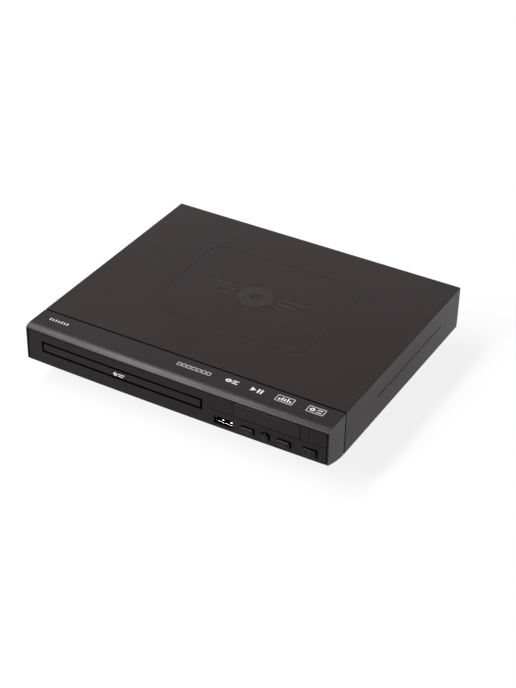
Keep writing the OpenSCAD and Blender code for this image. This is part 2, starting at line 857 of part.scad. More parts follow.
module disc_tray() {
    rear = tray_back + over;
    inner_left = tray_left + tray_wall;
    color("#1c1b1c") {
        difference() {
            translate([tray_left, tray_y, tray_z]) cube([tray_w, tray_len, tray_h]);
            translate([spindle_x, spindle_y, disc_z]) cylinder(h = deep, r = recess_r, $fn = 128);
            translate([spindle_x, spindle_y, small_z]) cylinder(h = deep, r = small_r, $fn = 128);
            // Hollow underside, deeper outside the small recess
            difference() {
                translate([inner_left, tray_y + tray_front_t, tray_z - over])
                    cube([tray_w - 2 * tray_wall, tray_len, disc_z - tray_floor - tray_z + over]);
                translate([spindle_x, spindle_y, small_z - tray_floor])
                    cylinder(h = deep, r = small_r + tray_floor);
            }
            // Slot for the turntable and the pickup
            translate([spindle_x, spindle_y, tray_z - over]) cylinder(h = deep, r = slot_w / 2);
            translate([spindle_x - slot_w / 2, spindle_y, tray_z - over])
                cube([slot_w, rear - spindle_y, deep]);
            // The rim is open where the disc is as wide as the tray
            translate([tray_left - over, spindle_y - side_open, disc_z])
                cube([tray_w + 2 * over, 2 * side_open, deep]);
            // Scoop for a finger at the front of the disc
            translate([spindle_x, spindle_y - recess_r + scoop_in, disc_z - scoop_d])
                cylinder(h = deep, r = scoop_r);
            // Hollow behind the disc
            for (s = [-1, 1])
                translate([
                    spindle_x + s * (tray_w + slot_w) / 4 - hollow_w / 2,
                    tray_back - hollow_from, disc_z])
                    cube([hollow_w, hollow_l, deep]);
        }
        rack();
        // Stop at the rear
        translate([stop_x - stop_w / 2, tray_back - stop_t, tray_z - stop_drop])
            cube([stop_w, stop_t, stop_h]);
    }
}
tray_front_t = 3;
side_open = 18;
scoop_in = 2;
scoop_d = 0.6;
scoop_r = 9;
hollow_w = 28;
hollow_l = 16;
hollow_from = 22;
stop_drop = 2.6;
stop_h = 6;

module rack() {
    pitch = PI * rack_m;
    half_tip = pitch / 4 - tooth_tip * rack_m * tan(pressure) - tooth_play / 4;
    half_root = pitch / 4 + rack_root * rack_m * tan(pressure) - tooth_play / 4;
    root_x = rack_x - rack_root * rack_m;
    tip_x = rack_x + tooth_tip * rack_m;
    count = floor((rack_y1 - rack_y0) / pitch);
    first = gear_y - 3.5 * pitch;
    translate([0, 0, tray_z])
        linear_extrude(rack_h + weld) {
            for (i = [0:count - 1])
                translate([0, first + i * pitch])
                    polygon([
                        [root_x - weld, -half_root], [root_x, -half_root], [tip_x, -half_tip],
                        [tip_x, half_tip], [root_x, half_root], [root_x - weld, half_root]]);
            translate([tray_left + weld, first - pitch / 2])
                square([root_x - tray_left - weld, count * pitch]);
        }
}
rack_root = 1.1;

module tray_door() {
    color("#211e1d")
        face_bar(tray_x - opening_w / 2 + door_gap, tray_x + opening_w / 2 - door_gap,
            tray_top - door_h, tray_top, 0, tray_y);
}
door_gap = 1.5;

// ---- Loader ----

module loader_frame() {
    len_y = frame_back - frame_front;
    color("#35322f") {
        difference() {
            union() {
                // Plate
                translate([frame_left, frame_front, deck_z])
                    cube([frame_right - frame_left, len_y, deck_t]);
                // Side walls
                for (x = [frame_left, frame_right - rail_t])
                    translate([x, frame_front, deck_z]) cube([rail_t, len_y, frame_top - deck_z]);
                // Ledges under the tray's edges
                for (x = [frame_left, frame_right - rail_t - ledge_w])
                    translate([x, frame_front, tray_z - slack - ledge_t])
                        cube([rail_t + ledge_w, len_y, ledge_t]);
                // Lips over the tray's edges
                for (x = [frame_left, frame_right - rail_t - rail_lip_w])
                    translate([x, frame_front, frame_top - rail_lip_t])
                        cube([rail_t + rail_lip_w, len_y, rail_lip_t]);
                // Legs
                for (p = leg_spots)
                    translate([p[0], p[1], pan_top + boss_h])
                        cylinder(h = deck_z - pan_top - boss_h + weld, r = leg_r);
                // Bearings of the traverse's hinge
                for (x = [well_left - hinge_t, well_right])
                    translate([x, hinge_y - hinge_half, deck_z - hinge_drop])
                        cube([hinge_t, 2 * hinge_half, hinge_drop + 2 * weld]);
                // Wall and shelf that guide the cam slider
                translate([cam_left - cam_lead, wall_y - wall_t, cam_low - slack - wall_t])
                    cube([cam_span, wall_t, deck_z - cam_low + slack + wall_t + weld]);
                translate([cam_left - cam_lead, wall_y - wall_t, cam_low - slack - wall_t])
                    cube([cam_span, wall_t + cam_t + 2 * slack + cam_lip, wall_t]);
                translate([cam_left - cam_lead, cam_y + cam_t + slack, cam_low - slack - weld])
                    cube([cam_span, cam_lip, 2 * cam_lip]);
            }
            // Well for the traverse
            translate([well_left, well_front, deck_z - over])
                cube([well_right - well_left, well_back - well_front, deck_t + 2 * over]);
            // Holes for the screws in the legs
            for (p = leg_spots)
                translate([p[0], p[1], 0])
                    cylinder(h = deep, r = screw_hole_r);
            // Holes for the hinge pins
            translate([frame_left, hinge_y, hinge_z])
                rotate([0, 90, 0])
                    cylinder(h = frame_right - frame_left, r = hinge_pin_r + pin_play);
            // Hole for the motor's boss
            translate([motor_x, motor_y, deck_z - over])
                cylinder(h = deck_t + 2 * over, r = motor_boss_r + motor_play);
        }
        // Axles
        translate([gear_x, gear_y, deck_top - weld])
            cylinder(h = gear_z + gear_h - deck_top + 2 * weld, r = axle_r);
        translate([pulley_x, gear_y, deck_top - weld])
            cylinder(h = belt_z + pulley_h - deck_top + 2 * weld, r = axle_r);
        // Stop for the tray
        translate([stop_x - stop_w / 2 - over, tray_back - tray_travel - 2 * stop_t - weld, deck_top - weld])
            cube([stop_w + 2 * over, stop_t, tray_z - slack - deck_top]);
    }
}
rail_lip_t = 1.1;
rail_lip_w = ledge_w - 0.4;
hinge_t = 2.6;
hinge_half = 5;
hinge_drop = 5.6;
cam_lead = 3;
cam_span = cam_right + cam_travel - cam_left + cam_lead + over;
motor_boss_r = 3;
motor_boss_h = 1;
motor_play = 0.2;
shaft_r = 0.8;
shaft_end = 1;

module loader_screws() {
    color("#9a9c9e")
        for (p = leg_spots)
            translate([p[0], p[1], deck_top]) screw(deck_top - pan_top - boss_floor - screw_end);
}
screw_end = 0.7;

module loading_motor() {
    color("#a7a9ab")
        translate([motor_x, motor_y, 0]) {
            translate([0, 0, motor_z]) cylinder(h = motor_h, r = motor_r);
            translate([0, 0, deck_z - weld]) cylinder(h = motor_boss_h + weld, r = motor_boss_r);
            translate([0, 0, deck_z]) cylinder(h = belt_z + pulley_h - deck_z - shaft_end, r = shaft_r);
        }
}

module grooved_pulley(r) {
    cylinder(h = pulley_h, r = r);
    cylinder(h = flange_t, r = r + flange_r);
    translate([0, 0, pulley_h - flange_t]) cylinder(h = flange_t, r = r + flange_r);
}

module motor_pulley() {
    color("#d8d6d0")
        translate([motor_x, motor_y, belt_z])
            difference() {
                grooved_pulley(motor_pulley_r);
                translate([0, 0, -over]) cylinder(h = pulley_h + 2 * weld, r = shaft_r + axle_play);
            }
}

module drive_belt() {
    color("#111111")
        translate([0, 0, belt_z + (pulley_h - belt_h) / 2])
            linear_extrude(belt_h)
                difference() {
                    belt_loop(belt_play + belt_t);
                    belt_loop(belt_play);
                }
}

module belt_loop(grow) {
    hull() {
        translate([pulley_x, gear_y]) circle(pulley_r + grow);
        translate([motor_x, motor_y]) circle(motor_pulley_r + grow);
    }
}

module pulley_gear() {
    color("#e3e1da")
        translate([pulley_x, gear_y, 0])
            difference() {
                union() {
                    translate([0, 0, drive_z]) gear(pinion_teeth, drive_m, drive_h, 180 + 180 / pinion_teeth);
                    translate([0, 0, drive_z + drive_h - weld])
                        cylinder(h = slack + 2 * weld, r = pinion_r - drive_m);
                    translate([0, 0, belt_z]) grooved_pulley(pulley_r);
                }
                cylinder(h = deep, r = axle_r + axle_play);
            }
}

module tray_gear() {
    color("#e3e1da")
        translate([gear_x, gear_y, 0])
            difference() {
                union() {
                    translate([0, 0, drive_z]) gear(wheel_teeth, drive_m, drive_h);
                    translate([0, 0, drive_z]) cylinder(h = gear_z - drive_z + weld, r = neck_r);
                    translate([0, 0, gear_z]) gear(rack_teeth, rack_m, gear_h, 180);
                }
                cylinder(h = deep, r = axle_r + axle_play);
            }
}
neck_r = 2.6;

module clamp_bridge() {
    color("#9fa1a3")
        difference() {
            translate([frame_left, spindle_y - bridge_half, frame_top])
                cube([frame_right - frame_left, 2 * bridge_half, bridge_t]);
            translate([spindle_x, spindle_y, frame_top - over])
                cylinder(h = bridge_t + 2 * over, r = clamp_hole_r);
            for (s = [-1, 1])
                translate([spindle_x + s * bridge_hole_x, spindle_y, frame_top + bridge_t / 2])
                    cube([bridge_hole_w, bridge_hole_l, bridge_t + 2 * over], center = true);
        }
}
bridge_hole_x = 38;
bridge_hole_w = 22;
bridge_hole_l = 26;

module disc_clamp() {
    color("#cfcdc8")
        translate([spindle_x, spindle_y, 0])
            difference() {
                union() {
                    translate([0, 0, clamp_z]) cylinder(h = clamp_flange_z - clamp_z + weld, r = clamp_r);
                    translate([0, 0, clamp_flange_z]) cylinder(h = clamp_flange_t, r = clamp_flange_r);
                    translate([0, 0, clamp_flange_z + clamp_flange_t - weld])
                        cylinder(h = clamp_collar_h + weld, r = clamp_r - 2);
                }
                translate([0, 0, clamp_z - over]) cylinder(h = over + hub_h + hub_room, r = hub_r + over);
                translate([0, 0, magnet_z]) cylinder(h = deep, r = magnet_r + magnet_play);
            }
}
clamp_flange_t = 1.2;
clamp_collar_h = 1.3;
hub_room = 0.6;
magnet_z = clamp_flange_z + 0.2;
magnet_h = 2;
magnet_play = 0.05;

module clamp_magnet() {
    color("#6f7072")
        translate([spindle_x, spindle_y, magnet_z]) cylinder(h = magnet_h, r = magnet_r);
}

module cam_slider() {
    color("#d9d5ca")
        difference() {
            translate([cam_left, cam_y, cam_low]) cube([cam_right - cam_left, cam_t, cam_top - cam_low]);
            for (x = cam_pins)
                along_y(cam_y - over, cam_y + cam_t + over)
                    cam_slot(x);
        }
}

// The pins stand in the slots' upper ends at rest, and the slider moves to +X to lower them
module cam_slot(x) {
    r = cam_pin_r + cam_play;
    run = cam_travel;
    low = cam_pin_z - cam_drop;
    polygon([
        [x + cam_flat, cam_pin_z + r], [x - r, cam_pin_z + r], [x - run - r, low + r],
        [x - run - cam_flat - r, low + r], [x - run - cam_flat - r, low - r], [x - run + r, low - r],
        [x + r, cam_pin_z - r], [x + cam_flat, cam_pin_z - r]]);
}

// ---- Traverse ----

module lift_frame() {
    color("#2a2a2c") {
        difference() {
            translate([lift_left, lift_front, lift_z])
                cube([lift_right - lift_left, lift_back - lift_front, lift_h]);
            translate([lift_left + lift_rail, lift_front + lift_rail, lift_z - over])
                cube([lift_right - lift_left - 2 * lift_rail, lift_back - lift_front - 2 * lift_rail,
                    lift_h + 2 * over]);
            for (p = damper_spots)
                translate([p[0], p[1], damper_z]) cylinder(h = lift_h, r = damper_r + slack);
        }
        for (p = damper_spots)
            difference() {
                translate([p[0] - pad_half, p[1] - pad_half, lift_z])
                    cube([2 * pad_half, 2 * pad_half, damper_z - lift_z]);
                translate([p[0], p[1], lift_z + 1]) cylinder(h = deep, r = thread_r);
            }
        // Hinge pins at the back
        for (x = [lift_left - hinge_pin_l, lift_right - over])
            translate([x, hinge_y, hinge_z])
                rotate([0, 90, 0])
                    cylinder(h = hinge_pin_l + over, r = hinge_pin_r);
        // Cam pins at the front
        for (x = cam_pins)
            translate([x, 0, cam_pin_z])
                along_y(cam_y, lift_front + over) circle(cam_pin_r);
    }
}
pad_half = 4;
damper_h = 2.6;
damper_r = 3.6;
damper_z = plate_z - damper_h;
damper_spots = [
    [lift_left + 6, lift_front + 6], [lift_right - 6, lift_front + 22],
    [lift_left + 6, lift_back - 5.5], [lift_right - 6, lift_back - 5.5]
];

module rubber_dampers() {
    color("#3c5a78")
        for (p = damper_spots)
            translate([p[0], p[1], damper_z])
                difference() {
                    cylinder(h = damper_h, r = damper_r);
                    translate([0, 0, -over]) cylinder(h = damper_h + 2 * over, r = screw_body_r + 0.15);
                }
}

module damper_screws() {
    color("#9a9c9e")
        for (p = damper_spots)
            translate([p[0], p[1], plate_z + plate_t])
                screw(plate_t + damper_h + damper_grip, damper_head_r);
}
damper_grip = 2.6;
damper_head_r = 2.2;

module traverse_plate() {
    color("#b4b6b8") {
        difference() {
            translate([lift_left + 1, lift_front + 1, plate_z])
                cube([lift_right - lift_left - 2, lift_back - lift_front - 2, plate_t]);
            translate([spindle_x, spindle_y, plate_z - over])
                cylinder(h = plate_t + 2 * over, r = spindle_motor_r + motor_room);
            translate([spindle_x - well_half, sled_front - sled_room, plate_z - over])
                cube([2 * well_half, sled_len + sled_travel + sled_room + over, plate_t + 2 * over]);
            for (p = damper_spots)
                translate([p[0], p[1], plate_z - over]) cylinder(h = plate_t + 2 * over, r = screw_hole_r);
            translate([screw_x - feed_motor_r - motor_room, feed_motor_y - motor_room, plate_z - over])
                cube([2 * (feed_motor_r + motor_room), feed_motor_l + 2 * motor_room, plate_t + 2 * over]);
        }
        // Brackets for the rods and the lead screw
        for (s = [-1, 1]) {
            difference() {
                bracket(spindle_x + s * rod_x, rod_y0 - bracket_t);
                translate([spindle_x + s * rod_x, 0, rod_z])
                    along_y(rod_y0 - rod_in, rod_y0 + over) circle(rod_r + rod_play);
            }
            difference() {
                bracket(spindle_x + s * rod_x, rod_y1);
                translate([spindle_x + s * rod_x, 0, rod_z])
                    along_y(rod_y1 - over, rod_y1 + rod_in) circle(rod_r + rod_play);
            }
        }
        difference() {
            bracket(screw_x, rod_y1);
            translate([screw_x, 0, rod_z])
                along_y(rod_y1 - over, rod_y1 + rod_in) circle(shaft_core_r + axle_play);
        }
    }
}
motor_room = 0.4;
sled_room = 1.6;
bracket_half = 3;
bracket_t = 2.4;
rod_in = 1.6;
rod_play = 0.02;
shaft_core_r = 1;

module bracket(x, y) {
    translate([x - bracket_half, y, rod_z - bracket_half])
        cube([2 * bracket_half, bracket_t, plate_z - rod_z + bracket_half + weld]);
}

module guide_rods() {
    color("#d4d6d8")
        for (s = [-1, 1])
            translate([spindle_x + s * rod_x, 0, rod_z])
                along_y(rod_y0 - rod_in, rod_y1 + rod_in) circle(rod_r);
}

module spindle_motor() {
    z0 = lift_z + motor_room;
    color("#8f9193")
        translate([spindle_x, spindle_y, 0])
            difference() {
                union() {
                    translate([0, 0, z0])
                        cylinder(h = seat_z - table_h - motor_room - z0, r = spindle_motor_r);
                    difference() {
                        translate([0, 0, plate_z - motor_flange_t])
                            cylinder(h = motor_flange_t, r = spindle_motor_r + motor_flange_w);
                        translate([-deep, sled_front - spindle_y - 2 * slack, 0])
                            cube([2 * deep, deep, deep]);
                    }
                }
                translate([0, 0, z0 + motor_flange_t]) cylinder(h = deep, r = shaft_core_r + axle_play);
            }
}

motor_flange_t = 1;
motor_flange_w = 3;

module turntable() {
    low = lift_z + motor_room + motor_flange_t + 2 * weld;
    color("#444446")
        translate([spindle_x, spindle_y, 0])
            difference() {
                union() {
                    translate([0, 0, low]) cylinder(h = seat_z - table_h - low + weld, r = shaft_core_r);
                    translate([0, 0, seat_z - table_h]) cylinder(h = table_h, r = table_r);
                    translate([0, 0, seat_z - weld]) cylinder(h = hub_base_h + 2 * weld, r = hub_r);
                    translate([0, 0, seat_z + hub_base_h])
                        cylinder(h = hub_h - hub_base_h, r1 = hub_r, r2 = hub_r - hub_taper);
                }
                translate([0, 0, seat_z - pad_d])
                    difference() {
                        cylinder(h = over, r = table_r - table_rim);
                        translate([0, 0, -over]) cylinder(h = 3 * over, r = hub_r + pad_in);
                    }
            }
}
hub_base_h = 0.7;
hub_taper = 1;
pad_d = 0.25;
pad_in = 2.2;
table_rim = 0.8;

module feed_motor() {
    color("#a7a9ab")
        translate([screw_x, 0, rod_z]) {
            difference() {
                along_y(feed_motor_y, feed_motor_y + feed_motor_l) circle(feed_motor_r);
                along_y(feed_motor_y + screw_in, feed_motor_y + feed_motor_l + over)
                    circle(shaft_core_r + axle_play);
            }
        }
}

module lead_screw() {
    color("#c9cbcd")
        translate([screw_x, 0, rod_z]) {
            along_y(feed_motor_y + screw_in + motor_room, rod_y1 + rod_in - 2 * weld) circle(shaft_core_r);
            along_y(feed_motor_y + feed_motor_l + over, rod_y1 - screw_back) circle(screw_r);
        }
}
screw_in = 2;
screw_back = 0.8;

module pickup_sled() {
    arm_y = sled_front + sled_len / 2;
    color("#4b4c4f") {
        difference() {
            union() {
                translate([spindle_x - sled_half, sled_front, sled_low])
                    cube([2 * sled_half, sled_len, sled_top - sled_low]);
                for (s = [-1, 1]) {
                    translate([spindle_x + s * rod_x, 0, rod_z])
                        along_y(sled_front, sled_front + sled_len) circle(ear_r);
                    translate([spindle_x + s * (rod_x + sled_half) / 2 - web_w / 2, sled_front, sled_low])
                        cube([web_w, sled_len, web_t]);
                }
                // Arm to the lead screw
                translate([spindle_x + rod_x, arm_y - arm_w / 2, rod_z - arm_t / 2])
                    cube([screw_x - spindle_x - rod_x - screw_r - arm_gap, arm_w, arm_t]);
            }
            for (s = [-1, 1])
                translate([spindle_x + s * rod_x, 0, rod_z])
                    along_y(sled_front - over, sled_front + sled_len + over) circle(rod_r + slide_play);
            // Room for the turntable's motor
            translate([spindle_x, spindle_y, 0]) cylinder(h = deep, r = table_r + table_room);
        }
        // Magnets each side of the lens
        for (s = [-1, 1])
            translate([spindle_x, lens_y + s * lens_magnet_y, sled_top + lens_magnet_h / 2 - weld])
                cube([lens_magnet_w, lens_magnet_t, lens_magnet_h], center = true);
    }
}
web_w = 8;
web_t = 3;
arm_w = 6;
arm_t = 4.8;
arm_gap = 0.2;
slide_play = 0.05;
table_room = 0.8;
lens_magnet_w = 8;
lens_magnet_t = 2;
lens_magnet_h = 2.4;
lens_magnet_y = holder_l / 2 + 1.4;

module lens_holder() {
    color("#151515")
        difference() {
            translate([spindle_x - holder_w / 2, lens_y - holder_l / 2, holder_z])
                cube([holder_w, holder_l, holder_h]);
            translate([spindle_x, lens_y, holder_z - over])
                cylinder(h = holder_h + 2 * over, r = lens_r - 0.4);
        }
}

module objective_lens() {
    color("#9fc3e0")
        translate([spindle_x, lens_y, holder_z + holder_h]) cylinder(h = lens_t, r = lens_r);
}

// ---- Electronics ----

module board(x0, y0, x1, y1) {
    color("#1f5a3a")
        difference() {
            translate([x0, y0, board_z]) cube([x1 - x0, y1 - y0, board_t]);
            for (p = board_spots)
                translate([p[0], p[1], board_z - over])
                    cylinder(h = board_t + 2 * over, r = screw_hole_r);
        }
}

board_top = board_z + board_t;
tall_h = 18;

// Places on the two boards, in percent of their width and depth
function board_x(percent) = board_left + (board_right - board_left) * percent / 100;
function main_y(percent) = main_y0 + (main_y1 - main_y0) * percent / 100;
function power_y(percent) = power_y0 + (power_y1 - power_y0) * percent / 100;

// A block on a board, from x0 to x1 and from y0 to y1
module block(x0, x1, y0, y1, z, h) {
    translate([x0, y0, board_top + z]) cube([x1 - x0, y1 - y0, h]);
}

module main_chip() {
    color("#1a1a1a")
        block(board_x(35), board_x(69), main_y(37), main_y(68), 0, 1.6);
}

module memory_chips() {
    color("#1a1a1a") {
        block(board_x(23), board_x(48), main_y(75), main_y(88), 0, 1.2);
        block(board_x(56), board_x(81), main_y(75), main_y(88), 0, 1.2);
        block(board_x(15), board_x(29), main_y(13), main_y(24), 0, 1.6);
    }
}

module transformer() {
    color("#2b2b2e")
        block(board_x(20), board_x(54), power_y(31), power_y(53), 0, tall_h);
    color("#c9a227") {
        block(board_x(24), board_x(50), power_y(26), power_y(58), 0, coil_flange_t);
        block(board_x(24), board_x(50), power_y(26), power_y(58), tall_h - coil_flange_t, 3);
    }
}
coil_flange_t = 4;

// A can capacitor, its radius in percent of the power board's depth
module can(x, y, percent, h) {
    r = (power_y1 - power_y0) * percent / 100;
    translate([x, y, board_top]) {
        cylinder(h = h - can_bevel, r = r);
        translate([0, 0, h - can_bevel - weld]) cylinder(h = can_bevel + weld, r1 = r, r2 = r - can_bevel);
    }
}

module capacitors() {
    color("#20242c") {
        can(board_x(71.5), power_y(56), 10.8, tall_h + 4);
        can(board_x(15), power_y(16), 6.4, tall_h - 2);
        can(board_x(37), power_y(12), 6.4, tall_h - 2);
        can(board_x(11), power_y(42), 4.9, tall_h - 6);
        can(board_x(13), main_y(79), 4.4, small_can_h);
        can(board_x(13), main_y(67), 4.4, small_can_h);
        can(board_x(86), main_y(20), 4.4, small_can_h);
    }
}
can_bevel = 0.5;
small_can_h = 8;

module fuse() {
    color("#c8ccce") {
        translate([board_x(88), 0, board_top + fuse_r + fuse_up])
            along_y(power_y(17), power_y(43)) circle(fuse_r);
        for (y = [18, 37])
            block(board_x(88) - 1, board_x(88) + 1, power_y(y), power_y(y + 5), 0, fuse_r);
    }
}
fuse_r = 2.5;
fuse_up = 1.7;

module heat_sink() {
    color("#a9abad") {
        for (x = [55:4.6:75])
            block(board_x(x), board_x(x + 1.6), power_y(6), power_y(24), 0, tall_h);
        block(board_x(55), board_x(75), power_y(14), power_y(17), 0, tall_h);
    }
}

module front_board() {
    color("#1f5a3a")
        difference() {
            translate([front_board_x0, front_board_y, front_board_z0])
                cube([front_board_x1 - front_board_x0, board_t, front_board_z1 - front_board_z0]);
            for (p = post_spots)
                translate([p[0], 0, p[1]])
                    along_y(front_board_y - over, front_board_y + board_t + over) circle(screw_hole_r);
        }
}

module display_module() {
    color("#17201c")
        translate([window_x0 + display_in, front_board_y - display_t, window_z + display_up])
            cube([window_w - display_in - eye_w - 2 * eye_gap, display_t, window_h - 2 * display_up]);
}
display_in = 4;
display_t = 9.6;
display_up = 1.8;

module tact_switches() {
    color("#26262a")
        for (x = key_xs)
            translate([x, 0, key_z]) {
                translate([-switch_w / 2, front_board_y - switch_h, -switch_w / 2])
                    cube([switch_w, switch_h, switch_w]);
                along_y(front_board_y - switch_h - plunger_h, front_board_y - switch_h + weld)
                    circle(plunger_r);
            }
}

module ir_receiver() {
    left = window_x0 + window_w - eye_w - eye_gap;
    color("#0f0f10") {
        translate([left, front_board_y - eye_t, window_z + display_up])
            cube([eye_w, eye_t, window_h - 2 * display_up]);
        translate([left + eye_w / 2, 0, window_z + window_h / 2])
            along_y(front_board_y - eye_t - eye_out, front_board_y - eye_t + weld) circle(eye_r);
    }
}
eye_w = 6.6;
eye_t = 5;
eye_gap = 2.4;
eye_out = 2;
eye_r = 2.4;

module usb_port() {
    front = face_y(usb_x) + usb_in;
    color("#c4c6c8") {
        difference() {
            translate([usb_x - usb_w / 2, front, usb_z - usb_h / 2])
                cube([usb_w, front_board_y - front, usb_h]);
            translate([usb_x - usb_w / 2 + usb_wall, front - over, usb_z - usb_h / 2 + usb_wall])
                cube([usb_w - 2 * usb_wall, front_board_y - front - over, usb_h - 2 * usb_wall]);
        }
        translate([usb_x - usb_tongue_w / 2, front + over, usb_z + usb_tongue_up])
            cube([usb_tongue_w, front_board_y - front - 2 * over, usb_tongue_t]);
    }
}
usb_in = 2.7;
usb_tongue_w = 11.2;
usb_tongue_t = 1.6;
usb_tongue_up = 0.4;

module phono_housings() {
    color("#17171a")
        for (i = [0:phono_count - 1])
            translate([phono_x0 + i * phono_pitch - phono_half, jack_y0 + over, board_top])
                cube([2 * phono_half, panel_in - jack_y0 - over, phono_z - board_top + phono_half]);
}
phono_half = 5;
sleeve_t = 0.6;

module phono_sleeves() {
    color("#c4c6c8")
        for (i = [0:phono_count - 1])
            translate([phono_x0 + i * phono_pitch, 0, phono_z])
                along_y(panel_y, panel_y + sleeve_l)
                    difference() {
                        circle(phono_r);
                        circle(phono_r - sleeve_t);
                    }
}

module phono_inserts() {
    color("#e8e6df")
        for (i = [0:phono_count - 1])
            translate([phono_x0 + i * phono_pitch, 0, phono_z])
                difference() {
                    along_y(panel_in, panel_y + sleeve_l - over) circle(phono_r - sleeve_t);
                    along_y(panel_in + over, panel_y + sleeve_l + over) circle(phono_bore_r);
                }
}

module hdmi_socket() {
    color("#c4c6c8") {
        difference() {
            translate([hdmi_x - hdmi_w / 2, panel_y - hdmi_l, board_top])
                cube([hdmi_w, hdmi_l + hdmi_t, hdmi_h]);
            translate([hdmi_x - hdmi_w / 2 + hdmi_t, panel_y - hdmi_l + over, board_top + hdmi_t])
                cube([hdmi_w - 2 * hdmi_t, hdmi_l + over, hdmi_h - 2 * hdmi_t]);
        }
        translate([hdmi_x - hdmi_tongue_w / 2, panel_y - hdmi_l + over - weld, board_top + hdmi_tongue_up])
            cube([hdmi_tongue_w, hdmi_l - 2 * over, hdmi_tongue_t]);
    }
}
hdmi_l = 12;
hdmi_t = 0.4;
hdmi_tongue_w = 11.8;
hdmi_tongue_up = 2.2;
hdmi_tongue_t = 1.1;

module inlet_outline(grow) {
    hull()
        for (s = [-1, 1])
            translate([s * inlet_half, 0]) circle(inlet_r + grow);
}
inlet_half = 5.4;
inlet_r = 5.6;
inlet_wall = 1.3;
inlet_l = 13;
inlet_out = 0.6;
pin_x = 4.3;
pin_r = 1.2;
pin_in = 1.5;

module mains_inlet() {
    color("#161617")
        difference() {
            union() {
                translate([inlet_x, 0, inlet_z])
                    along_y(panel_in - inlet_l, panel_y + inlet_out) inlet_outline(0);
                translate([inlet_x - inlet_half - inlet_r, panel_in - inlet_l, board_top])
                    cube([2 * (inlet_half + inlet_r), inlet_l - slack - weld, inlet_z - board_top]);
            }
            translate([inlet_x, 0, inlet_z])
                along_y(panel_y - inlet_l + over, panel_y + inlet_out + over) inlet_outline(-inlet_wall);
        }
}

module inlet_pins() {
    color("#c4c6c8")
        for (s = [-1, 1])
            translate([inlet_x + s * pin_x, 0, inlet_z])
                along_y(panel_y - inlet_l + over, panel_y - pin_in) circle(pin_r);
}

module board_screws() {
    color("#9a9c9e") {
        for (p = board_spots)
            translate([p[0], p[1], board_top]) screw(board_screw_l);
        for (p = post_spots)
            translate([p[0], front_board_y + board_t, p[1]])
                rotate([-90, 0, 0])
                    screw(board_screw_l);
    }
}
board_screw_l = 5;

top_cover();
front_bezel();
base_pan();
rear_panel();
display_window();
power_led();
rubber_feet();
cover_screws();
rear_screws();
button(key_xs[0]);  // open_button
button(key_xs[1]);  // play_button
button(key_xs[2]);  // stop_button
button(key_xs[3]);  // power_button
disc_tray();
tray_door();
loader_frame();
loader_screws();
clamp_bridge();
disc_clamp();
clamp_magnet();
loading_motor();
motor_pulley();
drive_belt();
pulley_gear();
tray_gear();
cam_slider();
lift_frame();
rubber_dampers();
traverse_plate();
damper_screws();
spindle_motor();
turntable();
feed_motor();
lead_screw();
guide_rods();
pickup_sled();
lens_holder();
objective_lens();
board(board_left, main_y0, board_right, main_y1);  // main_board
main_chip();
memory_chips();
board(board_left, power_y0, board_right, power_y1);  // power_board
transformer();
capacitors();
fuse();
heat_sink();
front_board();
display_module();
tact_switches();
ir_receiver();
usb_port();
board(jack_x0, jack_y0, jack_x1, panel_in - 0.5);  // jack_board
phono_housings();
phono_sleeves();
phono_inserts();
hdmi_socket();
mains_inlet();
inlet_pins();
board_screws();
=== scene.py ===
# Slim disc player with a motor-driven tray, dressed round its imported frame.
import bmesh
import bpy
import json
import math
from mathutils import Matrix, Vector


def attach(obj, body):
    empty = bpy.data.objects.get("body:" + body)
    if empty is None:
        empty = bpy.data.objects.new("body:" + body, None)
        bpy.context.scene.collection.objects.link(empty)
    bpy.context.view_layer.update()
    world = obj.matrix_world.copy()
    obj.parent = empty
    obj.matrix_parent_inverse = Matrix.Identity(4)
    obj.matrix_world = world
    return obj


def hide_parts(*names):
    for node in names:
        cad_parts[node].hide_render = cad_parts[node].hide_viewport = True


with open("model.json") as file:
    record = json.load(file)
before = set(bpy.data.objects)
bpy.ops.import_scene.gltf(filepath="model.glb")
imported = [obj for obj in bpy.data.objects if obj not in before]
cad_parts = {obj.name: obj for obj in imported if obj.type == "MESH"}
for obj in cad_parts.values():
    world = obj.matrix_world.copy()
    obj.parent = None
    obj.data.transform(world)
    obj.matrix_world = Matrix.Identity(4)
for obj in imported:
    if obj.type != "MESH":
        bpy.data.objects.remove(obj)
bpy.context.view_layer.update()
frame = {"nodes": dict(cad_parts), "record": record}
mm = 0.001

body = {  # sizes that several pieces share, in mm
    "sideX": 111.5, "frontY": -95.0, "backY": 95.0, "top": 42.0, "belly": 27.0, "tuckIn": 0.2,
    "skirt": 10.4, "edge": 0.5, "bow": 1.0, "wall": 2.2,
}
past = 1.0  # how far a cutting tool reaches past a surface, in mm
hair = 0.001  # keeps two solids of one piece from sharing a face, in mm


def halfWidth(z):
    # the sides lean in a little below their widest line
    lean = max(0, body["belly"] - z) / (body["belly"] - body["skirt"])
    return body["sideX"] - body["tuckIn"] * lean ** 2


bowRadius = body["sideX"] ** 2 / (2 * body["bow"]) + body["bow"] / 2


def faceY(x):
    # the bowed front, furthest out in the middle
    return body["frontY"] + bowRadius - math.sqrt(bowRadius ** 2 - x * x)


# ---- camera and light ----

cameraView = {  # degrees and mm; right and up shift the aim across the view
    "azimuth": 29.339, "elevation": 33.899, "roll": 1.145, "distance": 1108.166,
    "aim": (0.0, 1.0, 20.0), "right": 6.942, "up": -7.436, "lens": 86.546, "clip": (0.05, 50),
}


